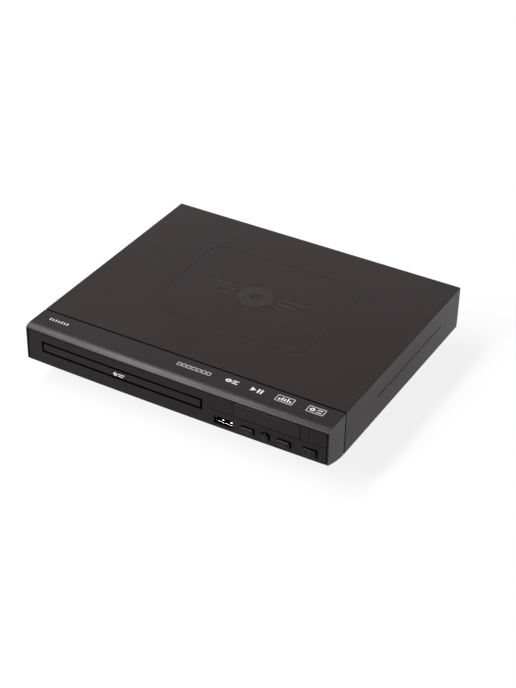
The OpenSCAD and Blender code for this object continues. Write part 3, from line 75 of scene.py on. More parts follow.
def placeCamera():
    az, el, roll = (math.radians(cameraView[k]) for k in ("azimuth", "elevation", "roll"))
    back = Vector((math.sin(az) * math.cos(el), -math.cos(az) * math.cos(el), math.sin(el)))
    right = (-back).cross(Vector((0, 0, 1))).normalized()
    up = right.cross(-back)
    tiltedRight = right * math.cos(roll) + up * math.sin(roll)
    tiltedUp = up * math.cos(roll) - right * math.sin(roll)
    aim = Vector(cameraView["aim"]) + tiltedRight * cameraView["right"] + tiltedUp * cameraView["up"]
    camera = bpy.data.objects.new("frontCamera", bpy.data.cameras.new("frontCamera"))
    bpy.context.scene.collection.objects.link(camera)
    camera.data.lens = cameraView["lens"]
    camera.data.clip_start, camera.data.clip_end = cameraView["clip"]
    turn = Matrix((tiltedRight, tiltedUp, back)).transposed().to_4x4()
    camera.matrix_world = Matrix.Translation((aim + back * cameraView["distance"]) * mm) @ turn
    bpy.context.scene.camera = camera


placeCamera()

lamps = {  # toward and far lead from the aim to the lamp; its long side runs along; metres and watts
    "stripOverhead": {"toward": (-0.475, -0.07, 0.87), "far": 3.0, "along": (0, 1, 0),
                      "size": (0.56, 3.1), "power": 104.0},
    "stripFront": {"toward": (-0.46, -0.7, 0.57), "far": 3.0, "along": (0, 0.62, 0.784),
                   "size": (0.7, 1.86), "power": 76.0},
}
lampAim = Vector((0, -0.09, 0.04))


def placeLamp(name, look):
    data = bpy.data.lights.new(name, "AREA")
    data.shape = "RECTANGLE"
    data.size, data.size_y = look["size"]
    data.energy = look["power"]
    lamp = bpy.data.objects.new(name, data)
    bpy.context.scene.collection.objects.link(lamp)
    outward = Vector(look["toward"]).normalized()
    across = Vector(look["along"]).cross(outward).normalized()
    turn = Matrix((across, outward.cross(across), outward)).transposed().to_4x4()
    lamp.matrix_world = Matrix.Translation(lampAim + outward * look["far"]) @ turn


for name, look in lamps.items():
    placeLamp(name, look)
bpy.context.scene.view_settings.view_transform = "Standard"
print("view: one camera and", len(lamps), "lamps")


# ---- material helpers ----

def addNode(tree, kind, inputs=None, **settings):
    node = tree.nodes.new(kind)
    for key, value in settings.items():
        setattr(node, key, value)
    for key, value in (inputs or {}).items():
        if isinstance(value, bpy.types.NodeSocket):
            tree.links.new(value, node.inputs[key])
        else:
            node.inputs[key].default_value = value
    return node


def startMaterial(name):
    mat = bpy.data.materials.new(name)
    mat.use_nodes = True
    tree = mat.node_tree
    tree.nodes.clear()
    out = tree.nodes.new("ShaderNodeOutputMaterial")
    shader = tree.nodes.new("ShaderNodeBsdfPrincipled")
    tree.links.new(shader.outputs["BSDF"], out.inputs["Surface"])
    place = addNode(tree, "ShaderNodeTexCoord").outputs["Object"]
    return mat, tree, shader, place


def noise(tree, place, size, detail=2.0, stretch=(1, 1, 1)):
    # size is the width of one blot, in mm
    if stretch != (1, 1, 1):
        place = addNode(tree, "ShaderNodeMapping", {"Vector": place, "Scale": stretch}).outputs["Vector"]
    return addNode(tree, "ShaderNodeTexNoise",
                   {"Vector": place, "Scale": 1 / (size * mm), "Detail": detail}).outputs["Fac"]


def remap(tree, value, low, high, fromLow=0.3, fromHigh=0.7):
    return addNode(tree, "ShaderNodeMapRange",
                   {"Value": value, "From Min": fromLow, "From Max": fromHigh, "To Min": low,
                    "To Max": high}).outputs["Result"]


def blendColours(tree, factor, first, second):
    node = addNode(tree, "ShaderNodeMix", data_type="RGBA")
    ends = [s for s in node.inputs if s.type == "RGBA"]
    for socket, value in zip(ends, (first, second)):
        if isinstance(value, bpy.types.NodeSocket):
            tree.links.new(value, socket)
        else:
            socket.default_value = (*value, 1.0)
    tree.links.new(factor, node.inputs[0])
    return next(s for s in node.outputs if s.type == "RGBA")


def edgeMask(tree, width, sharpest=0.9, flattest=0.995):
    # 1 on worn edges, 0 on flat faces; the limits are how far the rounded normal agrees with the flat one
    rounded = addNode(tree, "ShaderNodeBevel", {"Radius": width * mm}, samples=4).outputs["Normal"]
    flat = addNode(tree, "ShaderNodeNewGeometry").outputs["Normal"]
    same = addNode(tree, "ShaderNodeVectorMath", {0: rounded, 1: flat}, operation="DOT_PRODUCT")
    return remap(tree, same.outputs["Value"], 1.0, 0.0, sharpest, flattest)


def bumpFrom(tree, shader, height, depth, strength):
    # depth is the height of the relief, in mm
    bump = addNode(tree, "ShaderNodeBump", {"Height": height, "Distance": depth * mm, "Strength": strength})
    tree.links.new(bump.outputs["Normal"], shader.inputs["Normal"])


plasticLook = {  # what a finish doesn't set itself; cloud and grain are widths in mm
    "rough": 0.35, "roughSpread": (-0.03, 0.04), "gloss": 0.35, "tint": (1, 1, 1), "cloud": 45,
    "shade": 0.12, "grain": 0.35, "relief": 0.02, "bump": 0.35, "speckle": 0.25,
    "speckBand": (0.45, 0.75), "speckColour": (1.5, 0.004), "wear": 0, "wearWidth": 0.35,
    "wearLeast": 0.2, "wearBand": (0.35, 0.7), "wearColour": (1.8, 0.02),
}


def paler(colour, gain, lift=0.0):
    return [c * gain + lift for c in colour]


def plastic(name, look):
    # moulded plastic with a fine spark-eroded grain, clouded sheen and rubbed edges
    look = {**plasticLook, **look}
    mat, tree, shader, place = startMaterial(name)
    cloud = noise(tree, place, look["cloud"], 3.0)
    grain = noise(tree, place, look["grain"], 2.0)
    speck = noise(tree, place, look["grain"] * 3, 3.0)
    dark, light = (paler(look["colour"], 1 + side * look["shade"]) for side in (-1, 1))
    colour = blendColours(tree, remap(tree, cloud, 0, 1), dark, light)
    colour = blendColours(tree, remap(tree, speck, 0, look["speckle"], *look["speckBand"]), colour,
                          paler(look["colour"], *look["speckColour"]))
    if look["wear"] > 0:
        worn = addNode(tree, "ShaderNodeMath",
                       {0: edgeMask(tree, look["wearWidth"]),
                        1: remap(tree, speck, look["wearLeast"], look["wear"], *look["wearBand"])},
                       operation="MULTIPLY").outputs["Value"]
        colour = blendColours(tree, worn, colour, paler(look["colour"], *look["wearColour"]))
    tree.links.new(colour, shader.inputs["Base Color"])
    smooth, coarse = look["roughSpread"]
    rough = remap(tree, cloud, look["rough"] + smooth, look["rough"] + coarse)
    mixed = addNode(tree, "ShaderNodeMath", {0: rough, 1: remap(tree, grain, smooth, coarse)},
                    operation="ADD")
    tree.links.new(mixed.outputs["Value"], shader.inputs["Roughness"])
    shader.inputs["Specular IOR Level"].default_value = look["gloss"]
    shader.inputs["Specular Tint"].default_value = (*look["tint"], 1)
    bumpFrom(tree, shader, grain, look["relief"], look["bump"])
    return mat


metalLook = {"line": 0.4, "stretch": (0.04, 1, 1), "blot": 9, "drawn": 0.3, "relief": 0.006, "bump": 0.4,
             "blotGain": 0.82, "lineGain": 1.15, "lineShare": 0.3, "roughSpread": (-0.07, 0.09)}


def metal(name, look):
    # sheet or turned metal with drawn lines and faint blotches
    look = {**metalLook, **look}
    mat, tree, shader, place = startMaterial(name)
    lines = noise(tree, place, look["line"], 3.0, look["stretch"])
    blot = noise(tree, place, look["blot"], 3.0)
    colour = blendColours(tree, remap(tree, blot, 0, 1), paler(look["colour"], look["blotGain"]),
                          look["colour"])
    colour = blendColours(tree, remap(tree, lines, 0, look["lineShare"]), colour,
                          paler(look["colour"], look["lineGain"]))
    tree.links.new(colour, shader.inputs["Base Color"])
    shader.inputs["Metallic"].default_value = 1.0
    smooth, coarse = (look["rough"] + change for change in look["roughSpread"])
    tree.links.new(remap(tree, lines, smooth, coarse), shader.inputs["Roughness"])
    shader.inputs["Anisotropic"].default_value = look["drawn"]
    bumpFrom(tree, shader, lines, look["relief"], look["bump"])
    return mat


rubberLook = {"dust": 4.0, "dustShare": 0.5, "dustColour": (1.6, 0.015), "pore": 0.25, "gloss": 0.25,
              "roughSpread": (-0.05, 0.1), "relief": 0.03, "bump": 0.5}


def rubber(name, look):
    # matt rubber with dust and fine pores
    look = {**rubberLook, **look}
    mat, tree, shader, place = startMaterial(name)
    dust = noise(tree, place, look["dust"], 4.0)
    pores = noise(tree, place, look["pore"], 2.0)
    colour = blendColours(tree, remap(tree, dust, 0, look["dustShare"], 0.5, 0.8), look["colour"],
                          paler(look["colour"], *look["dustColour"]))
    tree.links.new(colour, shader.inputs["Base Color"])
    smooth, coarse = (look["rough"] + change for change in look["roughSpread"])
    tree.links.new(remap(tree, dust, smooth, coarse), shader.inputs["Roughness"])
    shader.inputs["Specular IOR Level"].default_value = look["gloss"]
    bumpFrom(tree, shader, pores, look["relief"], look["bump"])
    return mat


def laminate(name, look):
    # green lacquer over copper tracks, with tinned pads
    mat, tree, shader, place = startMaterial(name)
    tracks = addNode(tree, "ShaderNodeTexBrick",
                     {"Vector": place, "Scale": 1 / (look["track"] * mm), **look["bricks"]}).outputs["Fac"]
    cells = addNode(tree, "ShaderNodeTexVoronoi", {"Vector": place, "Scale": 1 / (look["pad"] * mm)})
    pads = remap(tree, cells.outputs["Distance"], 1.0, 0.0, *look["padEdge"])
    colour = blendColours(tree, tracks, look["colour"], look["trackColour"])
    colour = blendColours(tree, pads, colour, look["padColour"])
    tree.links.new(colour, shader.inputs["Base Color"])
    tree.links.new(remap(tree, pads, *look["rough"], 0.0, 1.0), shader.inputs["Roughness"])
    shader.inputs["Coat Weight"].default_value = look["coat"]
    bumpFrom(tree, shader, tracks, look["relief"], look["bump"])
    return mat


glassLook = {"clear": 0.85, "streak": 2.5, "streakGain": 0.94, "rough": (0.03, 0.09), "refraction": 1.5}


def clearGlass(name, look):
    # glass with a faint streak in its tint and sheen
    look = {**glassLook, **look}
    mat, tree, shader, place = startMaterial(name)
    streak = noise(tree, place, look["streak"], 2.0)
    colour = blendColours(tree, remap(tree, streak, 0, 1), look["colour"],
                          paler(look["colour"], look["streakGain"]))
    tree.links.new(colour, shader.inputs["Base Color"])
    tree.links.new(remap(tree, streak, *look["rough"]), shader.inputs["Roughness"])
    shader.inputs["Transmission Weight"].default_value = look["clear"]
    shader.inputs["IOR"].default_value = look["refraction"]
    return mat


def banded(name, look):
    # moulded plastic whose colour changes in steps along X, one for each socket
    mat = plastic(name, look)
    tree = mat.node_tree
    shader = next(n for n in tree.nodes if n.type == "BSDF_PRINCIPLED")
    place = addNode(tree, "ShaderNodeTexCoord").outputs["Object"]
    along = addNode(tree, "ShaderNodeSeparateXYZ", {"Vector": place}).outputs["X"]
    step = remap(tree, along, 0, 1, look["from"] * mm, look["to"] * mm)
    ramp = addNode(tree, "ShaderNodeValToRGB", {"Fac": step})
    ramp.color_ramp.interpolation = "CONSTANT"
    while len(ramp.color_ramp.elements) < len(look["steps"]):
        ramp.color_ramp.elements.new(0.5)
    for i, (element, colour) in enumerate(zip(ramp.color_ramp.elements, look["steps"])):
        element.position = i / len(look["steps"])
        element.color = (*colour, 1.0)
    stained = remap(tree, noise(tree, place, look["blot"], 2.0), 0, look["stained"])
    colour = blendColours(tree, stained, ramp.outputs["Color"], look["stain"])
    tree.links.new(colour, shader.inputs["Base Color"])
    return mat


# ---- finishes: one for each material slot of the record, then ink, emblem and a near-black for painted shade ----

plasticLooks = {
    "cover_plastic": {"colour": (0.0084, 0.0053, 0.0056), "rough": 0.3, "gloss": 0.15,
                      "tint": (1, 0.74, 0.78), "grain": 0.32, "wear": 0.3, "shade": 0.1, "cloud": 70},
    "front_plastic": {"colour": (0.0026, 0.0018, 0.0021), "rough": 0.28, "gloss": 0.195,
                      "tint": (0.98, 0.9, 0.945), "grain": 0.28, "wear": 0.3},
    "rear_plastic": {"colour": (0.022, 0.021, 0.022), "rough": 0.5, "grain": 0.5, "wear": 0.2},
    "window_plastic": {"colour": (0.0046, 0.0031, 0.0036), "rough": 0.2, "gloss": 0.21,
                       "tint": (1, 0.88, 0.92), "grain": 0.6, "bump": 0.08, "speckle": 0.05},
    "lamp_plastic": {"colour": (0.0026, 0.0019, 0.0021), "rough": 0.2, "gloss": 0.195,
                     "tint": (1, 0.88, 0.92), "grain": 0.6, "bump": 0.05},
    "button_plastic": {"colour": (0.0024, 0.0017, 0.0019), "rough": 0.24, "gloss": 0.175,
                       "tint": (1, 0.88, 0.92), "grain": 0.25, "wear": 0.2},
    "tray_plastic": {"colour": (0.021, 0.02, 0.021), "rough": 0.42, "grain": 0.4, "wear": 0.35},
    "loader_plastic": {"colour": (0.035, 0.033, 0.031), "rough": 0.4, "grain": 0.5, "wear": 0.2},
    "pale_plastic": {"colour": (0.72, 0.7, 0.63), "rough": 0.38, "grain": 0.6, "shade": 0.05,
                     "speckle": 0.1},
    "turntable_plastic": {"colour": (0.05, 0.05, 0.055), "rough": 0.35, "grain": 0.4, "wear": 0.3},
    "chip_plastic": {"colour": (0.015, 0.015, 0.016), "rough": 0.55, "grain": 0.2, "bump": 0.5},
    "transformer_core": {"colour": (0.34, 0.22, 0.03), "rough": 0.35, "grain": 0.9, "shade": 0.2},
    "capacitor_sleeve": {"colour": (0.016, 0.02, 0.045), "rough": 0.25, "gloss": 0.5, "grain": 0.8,
                         "bump": 0.15},
    "display_glass": {"colour": (0.012, 0.018, 0.017), "rough": 0.15, "gloss": 0.5, "grain": 1.0,
                      "bump": 0.04},
    "socket_plastic": {"colour": (0.018, 0.018, 0.019), "rough": 0.42, "wear": 0.2},
    "ink_white": {"colour": (0.62, 0.6, 0.6), "rough": 0.5, "grain": 0.5, "shade": 0.06, "bump": 0.1},
    "emblem_gloss": {"colour": (0.014, 0.0095, 0.0075), "rough": 0.25, "gloss": 0.16, "grain": 0.5,
                     "bump": 0.1},
    # near-black, low-gloss paint that stands in for shade down gaps and in hollows: painted shade
    "seam_black": {"colour": (0.0012, 0.0009, 0.001), "rough": 0.6, "gloss": 0.05, "grain": 0.4},
}
metalLooks = {
    "base_steel": {"colour": (0.1, 0.1, 0.103), "rough": 0.46, "line": 0.6, "drawn": 0.0, "relief": 0.02},
    "screw_steel": {"colour": (0.46, 0.47, 0.48), "rough": 0.3, "stretch": (1, 1, 0.1)},
    "bridge_steel": {"colour": (0.5, 0.51, 0.52), "rough": 0.36},
    "plate_steel": {"colour": (0.52, 0.53, 0.54), "rough": 0.36},
    "magnet": {"colour": (0.4, 0.4, 0.42), "rough": 0.3, "stretch": (1, 1, 1)},
    "motor_steel": {"colour": (0.56, 0.57, 0.58), "rough": 0.32, "stretch": (1, 1, 0.06)},
    "rod_steel": {"colour": (0.68, 0.69, 0.7), "rough": 0.2, "stretch": (1, 0.05, 1)},
    "pickup_alloy": {"colour": (0.34, 0.34, 0.35), "rough": 0.45, "stretch": (1, 1, 1), "line": 0.3,
                     "drawn": 0.0},
    "sink_aluminium": {"colour": (0.6, 0.61, 0.62), "rough": 0.34, "stretch": (1, 1, 0.04)},
    "contact_plating": {"colour": (0.72, 0.73, 0.74), "rough": 0.22, "stretch": (1, 0.05, 1)},
}
rubberLooks = {
    "foot_rubber": {"colour": (0.017, 0.017, 0.017), "rough": 0.75},
    "belt_rubber": {"colour": (0.012, 0.012, 0.012), "rough": 0.6},
    "damper_rubber": {"colour": (0.04, 0.09, 0.2), "rough": 0.6},
}
laminateLooks = {
    "board_laminate": {"track": 1.6, "pad": 3.4, "padEdge": (0.14, 0.17), "colour": (0.012, 0.09, 0.035),
                       "trackColour": (0.02, 0.15, 0.055), "padColour": (0.55, 0.5, 0.4),
                       "bricks": {"Mortar Size": 0.12, "Bias": 0.0, "Brick Width": 3.0, "Row Height": 0.6,
                                  "Mortar Smooth": 0.1},
                       "rough": (0.38, 0.25), "coat": 0.3, "relief": 0.03, "bump": 0.5},
}
glassLooks = {
    "lens_glass": {"colour": (0.75, 0.84, 0.97)},
    "fuse_glass": {"colour": (0.86, 0.9, 0.9)},
}
bandedLooks = {
    "insert_plastic": {"colour": (0.5, 0.5, 0.5), "grain": 0.5, "from": -89, "to": -33,
                       "steps": [(0.62, 0.4, 0.02), (0.55, 0.02, 0.015), (0.75, 0.74, 0.7),
                                 (0.6, 0.16, 0.015)],
                       "stain": (0.02, 0.02, 0.02), "stained": 0.2, "blot": 3.0},
}
finishes = {}
for makeFinish, group in ((plastic, plasticLooks), (metal, metalLooks), (rubber, rubberLooks),
                          (laminate, laminateLooks), (clearGlass, glassLooks), (banded, bandedLooks)):
    for slot, look in group.items():
        finishes[slot] = makeFinish(slot, look)
print("finishes:", len(finishes))


# ---- mesh helpers ----

def linkObject(name, mesh):
    obj = bpy.data.objects.new(name, mesh)
    bpy.context.scene.collection.objects.link(obj)
    return obj


def meshFrom(name, bm):
    bmesh.ops.recalc_face_normals(bm, faces=bm.faces)
    mesh = bpy.data.meshes.new(name)
    bm.to_mesh(mesh)
    bm.free()
    return linkObject(name, mesh)


def joinLoops(bm, loops, caps=True):
    # skins closed loops of the same length, one after another
    rings = [[bm.verts.new(Vector(p) * mm) for p in loop] for loop in loops]
    count = len(rings[0])
    for first, second in zip(rings, rings[1:]):
        for i in range(count):
            j = (i + 1) % count
            bm.faces.new((first[i], first[j], second[j], second[i]))
    if caps:
        bm.faces.new(list(reversed(rings[0])))
        bm.faces.new(rings[-1])


def ringSolid(bm, outerLow, innerLow, outerHigh, innerHigh):
    # a closed ring between an outer and an inner outline
    joinLoops(bm, [outerLow, outerHigh, innerHigh, innerLow, outerLow], caps=False)
    bmesh.ops.remove_doubles(bm, verts=bm.verts, dist=1e-7)


def roundedOutline(width, height, radius, steps, least=0.01):
    radius = max(radius, least)
    points = []
    for cx, cy, start in ((1, 1, 0), (-1, 1, 90), (-1, -1, 180), (1, -1, 270)):
        for k in range(steps + 1):
            a = math.radians(start + 90 * k / steps)
            points.append((cx * (width / 2 - radius) + radius * math.cos(a),
                           cy * (height / 2 - radius) + radius * math.sin(a)))
    return points


def roundOutline(radius, steps, squash=1.0):
    turns = [2 * math.pi * k / steps for k in range(steps)]
    return [(radius * math.cos(a), radius * squash * math.sin(a)) for a in turns]


def alongY(outline, y, x=0, z=0):
    return [(x + px, y, z + pz) for px, pz in outline]


def alongZ(outline, z, x=0, y=0):
    return [(x + px, y + py, z) for px, py in outline]


def boxSolid(name, low, high):
    bm = bmesh.new()
    corners = [(low[0], low[1]), (high[0], low[1]), (high[0], high[1]), (low[0], high[1])]
    joinLoops(bm, [[(x, y, z) for x, y in corners] for z in (low[2], high[2])])
    return meshFrom(name, bm)


def slabSolid(name, slab, y0, y1):
    # a box from y0 to y1 round the slab's middle
    x, z, width, height = (slab[k] for k in ("x", "z", "width", "height"))
    return boxSolid(name, (x - width / 2, y0, z - height / 2), (x + width / 2, y1, z + height / 2))


def carve(obj, tools, operation="DIFFERENCE"):
    # each cut is turned into mesh before the next
    for tool in tools:
        cut = obj.modifiers.new("cut", "BOOLEAN")
        cut.operation = operation
        cut.solver = "EXACT"
        cut.object = tool
        depsgraph = bpy.context.evaluated_depsgraph_get()
        mesh = bpy.data.meshes.new_from_object(obj.evaluated_get(depsgraph))
        obj.modifiers.clear()
        obj.data = mesh
        bpy.data.objects.remove(tool)


easing = {"angle": 32, "flatWeight": 80, "weld": 2e-6, "flatAngle": 0.6}  # degrees and metres


def easeEdges(obj, width, segments=2):
    for polygon in obj.data.polygons:
        polygon.use_smooth = True
    ease = obj.modifiers.new("easedEdges", "BEVEL")
    ease.width = width * mm
    ease.segments = segments
    ease.limit_method = "ANGLE"
    ease.angle_limit = math.radians(easing["angle"])
    ease.use_clamp_overlap = True
    ease.miter_outer = "MITER_ARC"
    normals = obj.modifiers.new("flatFaces", "WEIGHTED_NORMAL")
    normals.keep_sharp = True
    normals.weight = easing["flatWeight"]


def dress(obj, bodyName, finish, stands=()):
    # rides obj on its body, with its slot and the nodes that it stands for
    obj.data.materials.clear()
    obj.data.materials.append(finishes[finish])
    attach(obj, bodyName)
    if stands:
        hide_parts(*stands)


# ---- shell ----

def sideProfile(inset, low, arcSteps=8, rows=22):
    # the right half of the shell's section, from its lower edge to the top
    shoulder = body["top"] - max(body["edge"], inset)
    points = []
    for i in range(rows + 1):
        z = low + (shoulder - low) * i / rows
        points.append((halfWidth(z) - inset, z))
    if inset < body["edge"]:
        reach = body["edge"] - inset
        for k in range(1, arcSteps + 1):
            a = math.radians(90 * k / arcSteps)
            points.append((halfWidth(body["top"]) - body["edge"] + reach * math.cos(a),
                           body["top"] - body["edge"] + reach * math.sin(a)))
    return points


def shellOutline(inset, low):
    right = sideProfile(inset, low)
    return right + [(-x, z) for x, z in reversed(right)]


def shellBlock(name, inset, low, y0, y1):
    bm = bmesh.new()
    outline = shellOutline(inset, low)
    joinLoops(bm, [alongY(outline, y) for y in (y0, y1)])
    return meshFrom(name, bm)


cover = {"front": -71.75, "groove": (-28.0, 67.0), "lineWidth": 0.7, "lineDepth": 0.4, "rim": 0.1,
         "ease": 0.12,
         "panel": {"width": 118.0, "length": 92.5, "radius": 11.0, "middle": 13.0, "line": 0.5,
                   "depth": 0.14}}


def makeCover():
    front, line = cover["front"], cover["lineWidth"]
    obj = shellBlock("coverShell", 0, body["skirt"], front, body["backY"])
    panel = cover["panel"]
    bm = bmesh.new()
    outer, inner = (roundedOutline(panel["width"] - 2 * inset, panel["length"] - 2 * inset,
                                   panel["radius"] - inset, steps=12) for inset in (0, panel["line"]))
    low, high = body["top"] - panel["depth"], body["top"] + past
    ringSolid(bm, *(alongZ(outline, z, 0, panel["middle"]) for z in (low, high)
                    for outline in (outer, inner)))
    tools = [shellBlock("hollow", body["wall"], body["skirt"] - past, front - past, body["backY"] + past),
             meshFrom("topLine", bm)]
    (y0, y1), z0, z1 = cover["groove"], body["belly"] - line / 2, body["belly"] + line / 2
    for side in (-1, 1):
        x0, x1 = sorted((side * (body["sideX"] - cover["lineDepth"]), side * (body["sideX"] + past)))
        tools.append(boxSolid("sideLine", (x0, y0, z0), (x1, y1, z1)))
    carve(obj, tools)
    dress(obj, "chassis", "cover_plastic", ["top_cover"])
    obj.data.materials.append(finishes["seam_black"])
    # the cover's front rim, seen down the seam, is painted near-black as shade
    for polygon in obj.data.polygons:  # the front rim is the seam's far side
        facesFront = polygon.normal.y < -0.9
        polygon.material_index = int(facesFront and polygon.center.y < (front + cover["rim"]) * mm)
    easeEdges(obj, cover["ease"])


makeCover()

emblem = {"middle": (-0.5, 12.5), "outer": 12.6, "inner": 4.2, "rise": 0.12, "sunk": 0.05, "ease": 0.04,
          "bars": ((17.0, 36.5, 5.2), (16.2, 31.0, 0.0), (17.0, 25.5, -5.2)), "barHeight": 2.6}


def makeEmblem():
    # a plain disc between speed lines, raised a hair above the lid
    bm = bmesh.new()
    cx, cy = emblem["middle"]
    levels = (body["top"] - emblem["sunk"], body["top"] + emblem["rise"])
    disc = [roundOutline(emblem[edge], steps=72) for edge in ("outer", "inner")]
    ringSolid(bm, *(alongZ(outline, z, cx, cy) for z in levels for outline in disc))
    radius = emblem["barHeight"] / 2 - emblem["sunk"]
    for side in (-1, 1):
        for x0, x1, y in emblem["bars"]:
            bar = roundedOutline(x1 - x0, emblem["barHeight"], radius, steps=8)
            joinLoops(bm, [alongZ(bar, z, cx + side * (x0 + x1) / 2, cy + y) for z in levels])
    obj = meshFrom("lidEmblem", bm)
    easeEdges(obj, emblem["ease"], 1)
    dress(obj, "chassis", "emblem_gloss")


makeEmblem()
print("cover: shell, side lines, top frame and emblem")

bezel = {
    "depth": 21.6, "rollDepth": 8.0, "rollHeight": 2.6, "faceLow": 16.1, "sweep": 1.6, "back": -73.05,
    "blockDepth": 40, "stations": 48, "rollSteps": 22, "sweepSteps": 14, "ease": 0.16, "cut": 8,
    "opening": {"x": (-99.3, 23.3), "z": (25.0, 33.2)},
    "line": {"x": (27.7, 108.4), "z": (28.15, 28.62), "depth": 0.4},
    "crease": {"z": (38.75, 39.15), "depth": 0.25},
    "corner": {"x": (109.8, 110.7), "z": (13.0, 38.9), "depth": 0.8},
    "window": {"x": (45.26, 92.1), "z": (28.6, 38.2), "depth": 2.2},
    "usb": {"x": 38.38, "z": 21.5, "width": 13.4, "height": 5.6},
    "lamp": {"x": 97.92, "z": 32.0, "width": 1.3, "height": 2.9},
}
keys = {
    "open_button": {"x": 55.67, "width": 9.26, "height": 4.0, "radius": 1.0},
    "play_button": {"x": 68.19, "width": 5.82, "height": 5.82, "radius": 2.9},
    "stop_button": {"x": 81.16, "width": 9.26, "height": 4.0, "radius": 1.0},
    "power_button": {"x": 99.06, "width": 9.26, "height": 5.0, "radius": 1.0},
}
keyRow = {"z": 21.4, "gap": 0.6}


def sweepZ(d):
    # the height of the lower edge, d behind the face
    rise = (bezel["faceLow"] - body["skirt"]) * max(0, 1 - d / bezel["depth"]) ** bezel["sweep"]
    return body["skirt"] + rise


def bezelProfile(inset):
    # the section as depth and height: the roll, the strip behind it and the swept lower edge
    crease = body["top"] - bezel["rollHeight"]
    points = []
    for k in range(bezel["rollSteps"] + 1):
        a = math.radians(90 * k / bezel["rollSteps"])
        points.append((bezel["rollDepth"] - (bezel["rollDepth"] - inset) * math.cos(a),
                       crease - inset + bezel["rollHeight"] * math.sin(a)))
    points += [(bezel["blockDepth"], body["top"] - inset), (bezel["blockDepth"], body["skirt"] + inset)]
    for i in range(bezel["sweepSteps"], -1, -1):
        d = inset + (bezel["depth"] - inset) * i / bezel["sweepSteps"]
        points.append((d, sweepZ(d) + inset))
    return points


def bowedBlock(name, outline, x0, x1, stations):
    # an outline of depth and height swept along the bowed front
    bm = bmesh.new()
    loops = []
    for i in range(stations + 1):
        x = x0 + (x1 - x0) * i / stations
        loops.append([(x, faceY(x) + d, z) for d, z in outline])
    joinLoops(bm, loops)
    return meshFrom(name, bm)


def bowedCut(name, cut, x0, x1, stations):
    (z0, z1), depth = cut["z"], cut["depth"]
    return bowedBlock(name, [(-past, z0), (depth, z0), (depth, z1), (-past, z1)], x0, x1, stations)


def makeBezel():
    reach, low, front = body["sideX"] + past, body["skirt"] - past, body["frontY"] - past
    stations, deep = bezel["stations"], front + bezel["cut"]
    outer = bowedBlock("bezelShell", bezelProfile(0), -reach, reach, stations)
    carve(outer, [shellBlock("section", 0, low, front, bezel["back"])], "INTERSECT")
    hollow = bowedBlock("hollow", bezelProfile(body["wall"]), -reach, reach, stations)
    carve(hollow, [shellBlock("section", body["wall"], low, front, bezel["back"] + 2 * past)], "INTERSECT")
    opening, line, corner = bezel["opening"], bezel["line"], bezel["corner"]
    tools = [
        hollow,
        boxSolid("trayOpening", *zip(opening["x"], (front, deep), opening["z"])),
        bowedCut("lineUnderWindow", line, *line["x"], stations=12),
        bowedCut("lineAtCrease", bezel["crease"], -reach, reach, stations),
        bowedCut("lineAtRight", corner, *corner["x"], stations=1),
        bowedCut("lineAtLeft", corner, -corner["x"][1], -corner["x"][0], stations=1),
        bowedCut("windowSeat", bezel["window"], *bezel["window"]["x"], stations=8),
        slabSolid("usbSlot", bezel["usb"], front, deep),
        slabSolid("lampSlot", bezel["lamp"], front, deep),
    ]
    for key in keys.values():
        bm = bmesh.new()
        outline = roundedOutline(key["width"] + 2 * keyRow["gap"], key["height"] + 2 * keyRow["gap"],
                                 key["radius"] + keyRow["gap"], steps=8)
        joinLoops(bm, [alongY(outline, y, key["x"], keyRow["z"]) for y in (front, deep)])
        tools.append(meshFrom("keyHole", bm))
    carve(outer, tools)
    easeEdges(outer, bezel["ease"])
    dress(outer, "chassis", "front_plastic", ["front_bezel"])


makeBezel()

lip = {"gap": 0.3, "thick": 1.4, "y": (-76.4, -68.4), "low": 18.4, "ease": 0.15}


def makeLip():
    # the strip seen down in the shadow gap, painted near-black as shade
    bm = bmesh.new()
    outer, inner = (shellOutline(body["wall"] + lip["gap"] + deep, lip["low"])
                    for deep in (0, lip["thick"]))
    joinLoops(bm, [alongY([*outer, *reversed(inner)], y) for y in lip["y"]])
    obj = meshFrom("bezelLip", bm)
    easeEdges(obj, lip["ease"])
    dress(obj, "chassis", "seam_black", ["front_bezel"])


makeLip()
print("bezel: bowed shell with its openings, and the lip behind it")

# ---- tray door, window and lamp ----

door = {"x": (-97.8, 21.8), "z": (26.6, 31.8), "back": -91.4, "stations": 24, "ease": 0.1}


def makeDoor():
    bm = bmesh.new()
    (x0, x1), (z0, z1), back = door["x"], door["z"], door["back"]
    loops = []
    for i in range(door["stations"] + 1):
        x = x0 + (x1 - x0) * i / door["stations"]
        loops.append([(x, faceY(x), z0), (x, faceY(x), z1), (x, back, z1), (x, back, z0)])
    joinLoops(bm, loops)
    obj = meshFrom("trayDoor", bm)
    # all but the front face is painted near-black as shade in the gap round the door
    for polygon in obj.data.polygons:  # all but the face is dark
        polygon.material_index = int(polygon.normal.y > -0.5)
    dress(obj, "tray", "front_plastic", ["tray_door"])
    obj.data.materials.append(finishes["seam_black"])
    easeEdges(obj, door["ease"], 3)
    # the eased edges take the painted shade as well
    obj.modifiers["easedEdges"].material = 1


makeDoor()

window = {"clear": 0.12, "right": 91.62, "sunk": 0.05, "thick": 1.2, "ease": 0.2}


def makeWindow():
    seat = bezel["window"]
    z0, z1 = seat["z"][0] + window["clear"], seat["z"][1] - window["clear"]
    near, far = window["sunk"], window["sunk"] + window["thick"]
    obj = bowedBlock("windowPlate", [(near, z0), (near, z1), (far, z1), (far, z0)],
                     seat["x"][0] + window["clear"], window["right"], stations=12)
    easeEdges(obj, window["ease"], 3)
    dress(obj, "chassis", "window_plastic", ["display_window"])


makeWindow()

lampGuide = {"width": 1.2, "height": 2.8, "radius": 0.55, "proud": 0.05, "back": -80.5, "ease": 0.05,
             "crown": ((0.35, 0.0), (0.12, 0.08), (0.0, 0.3))}


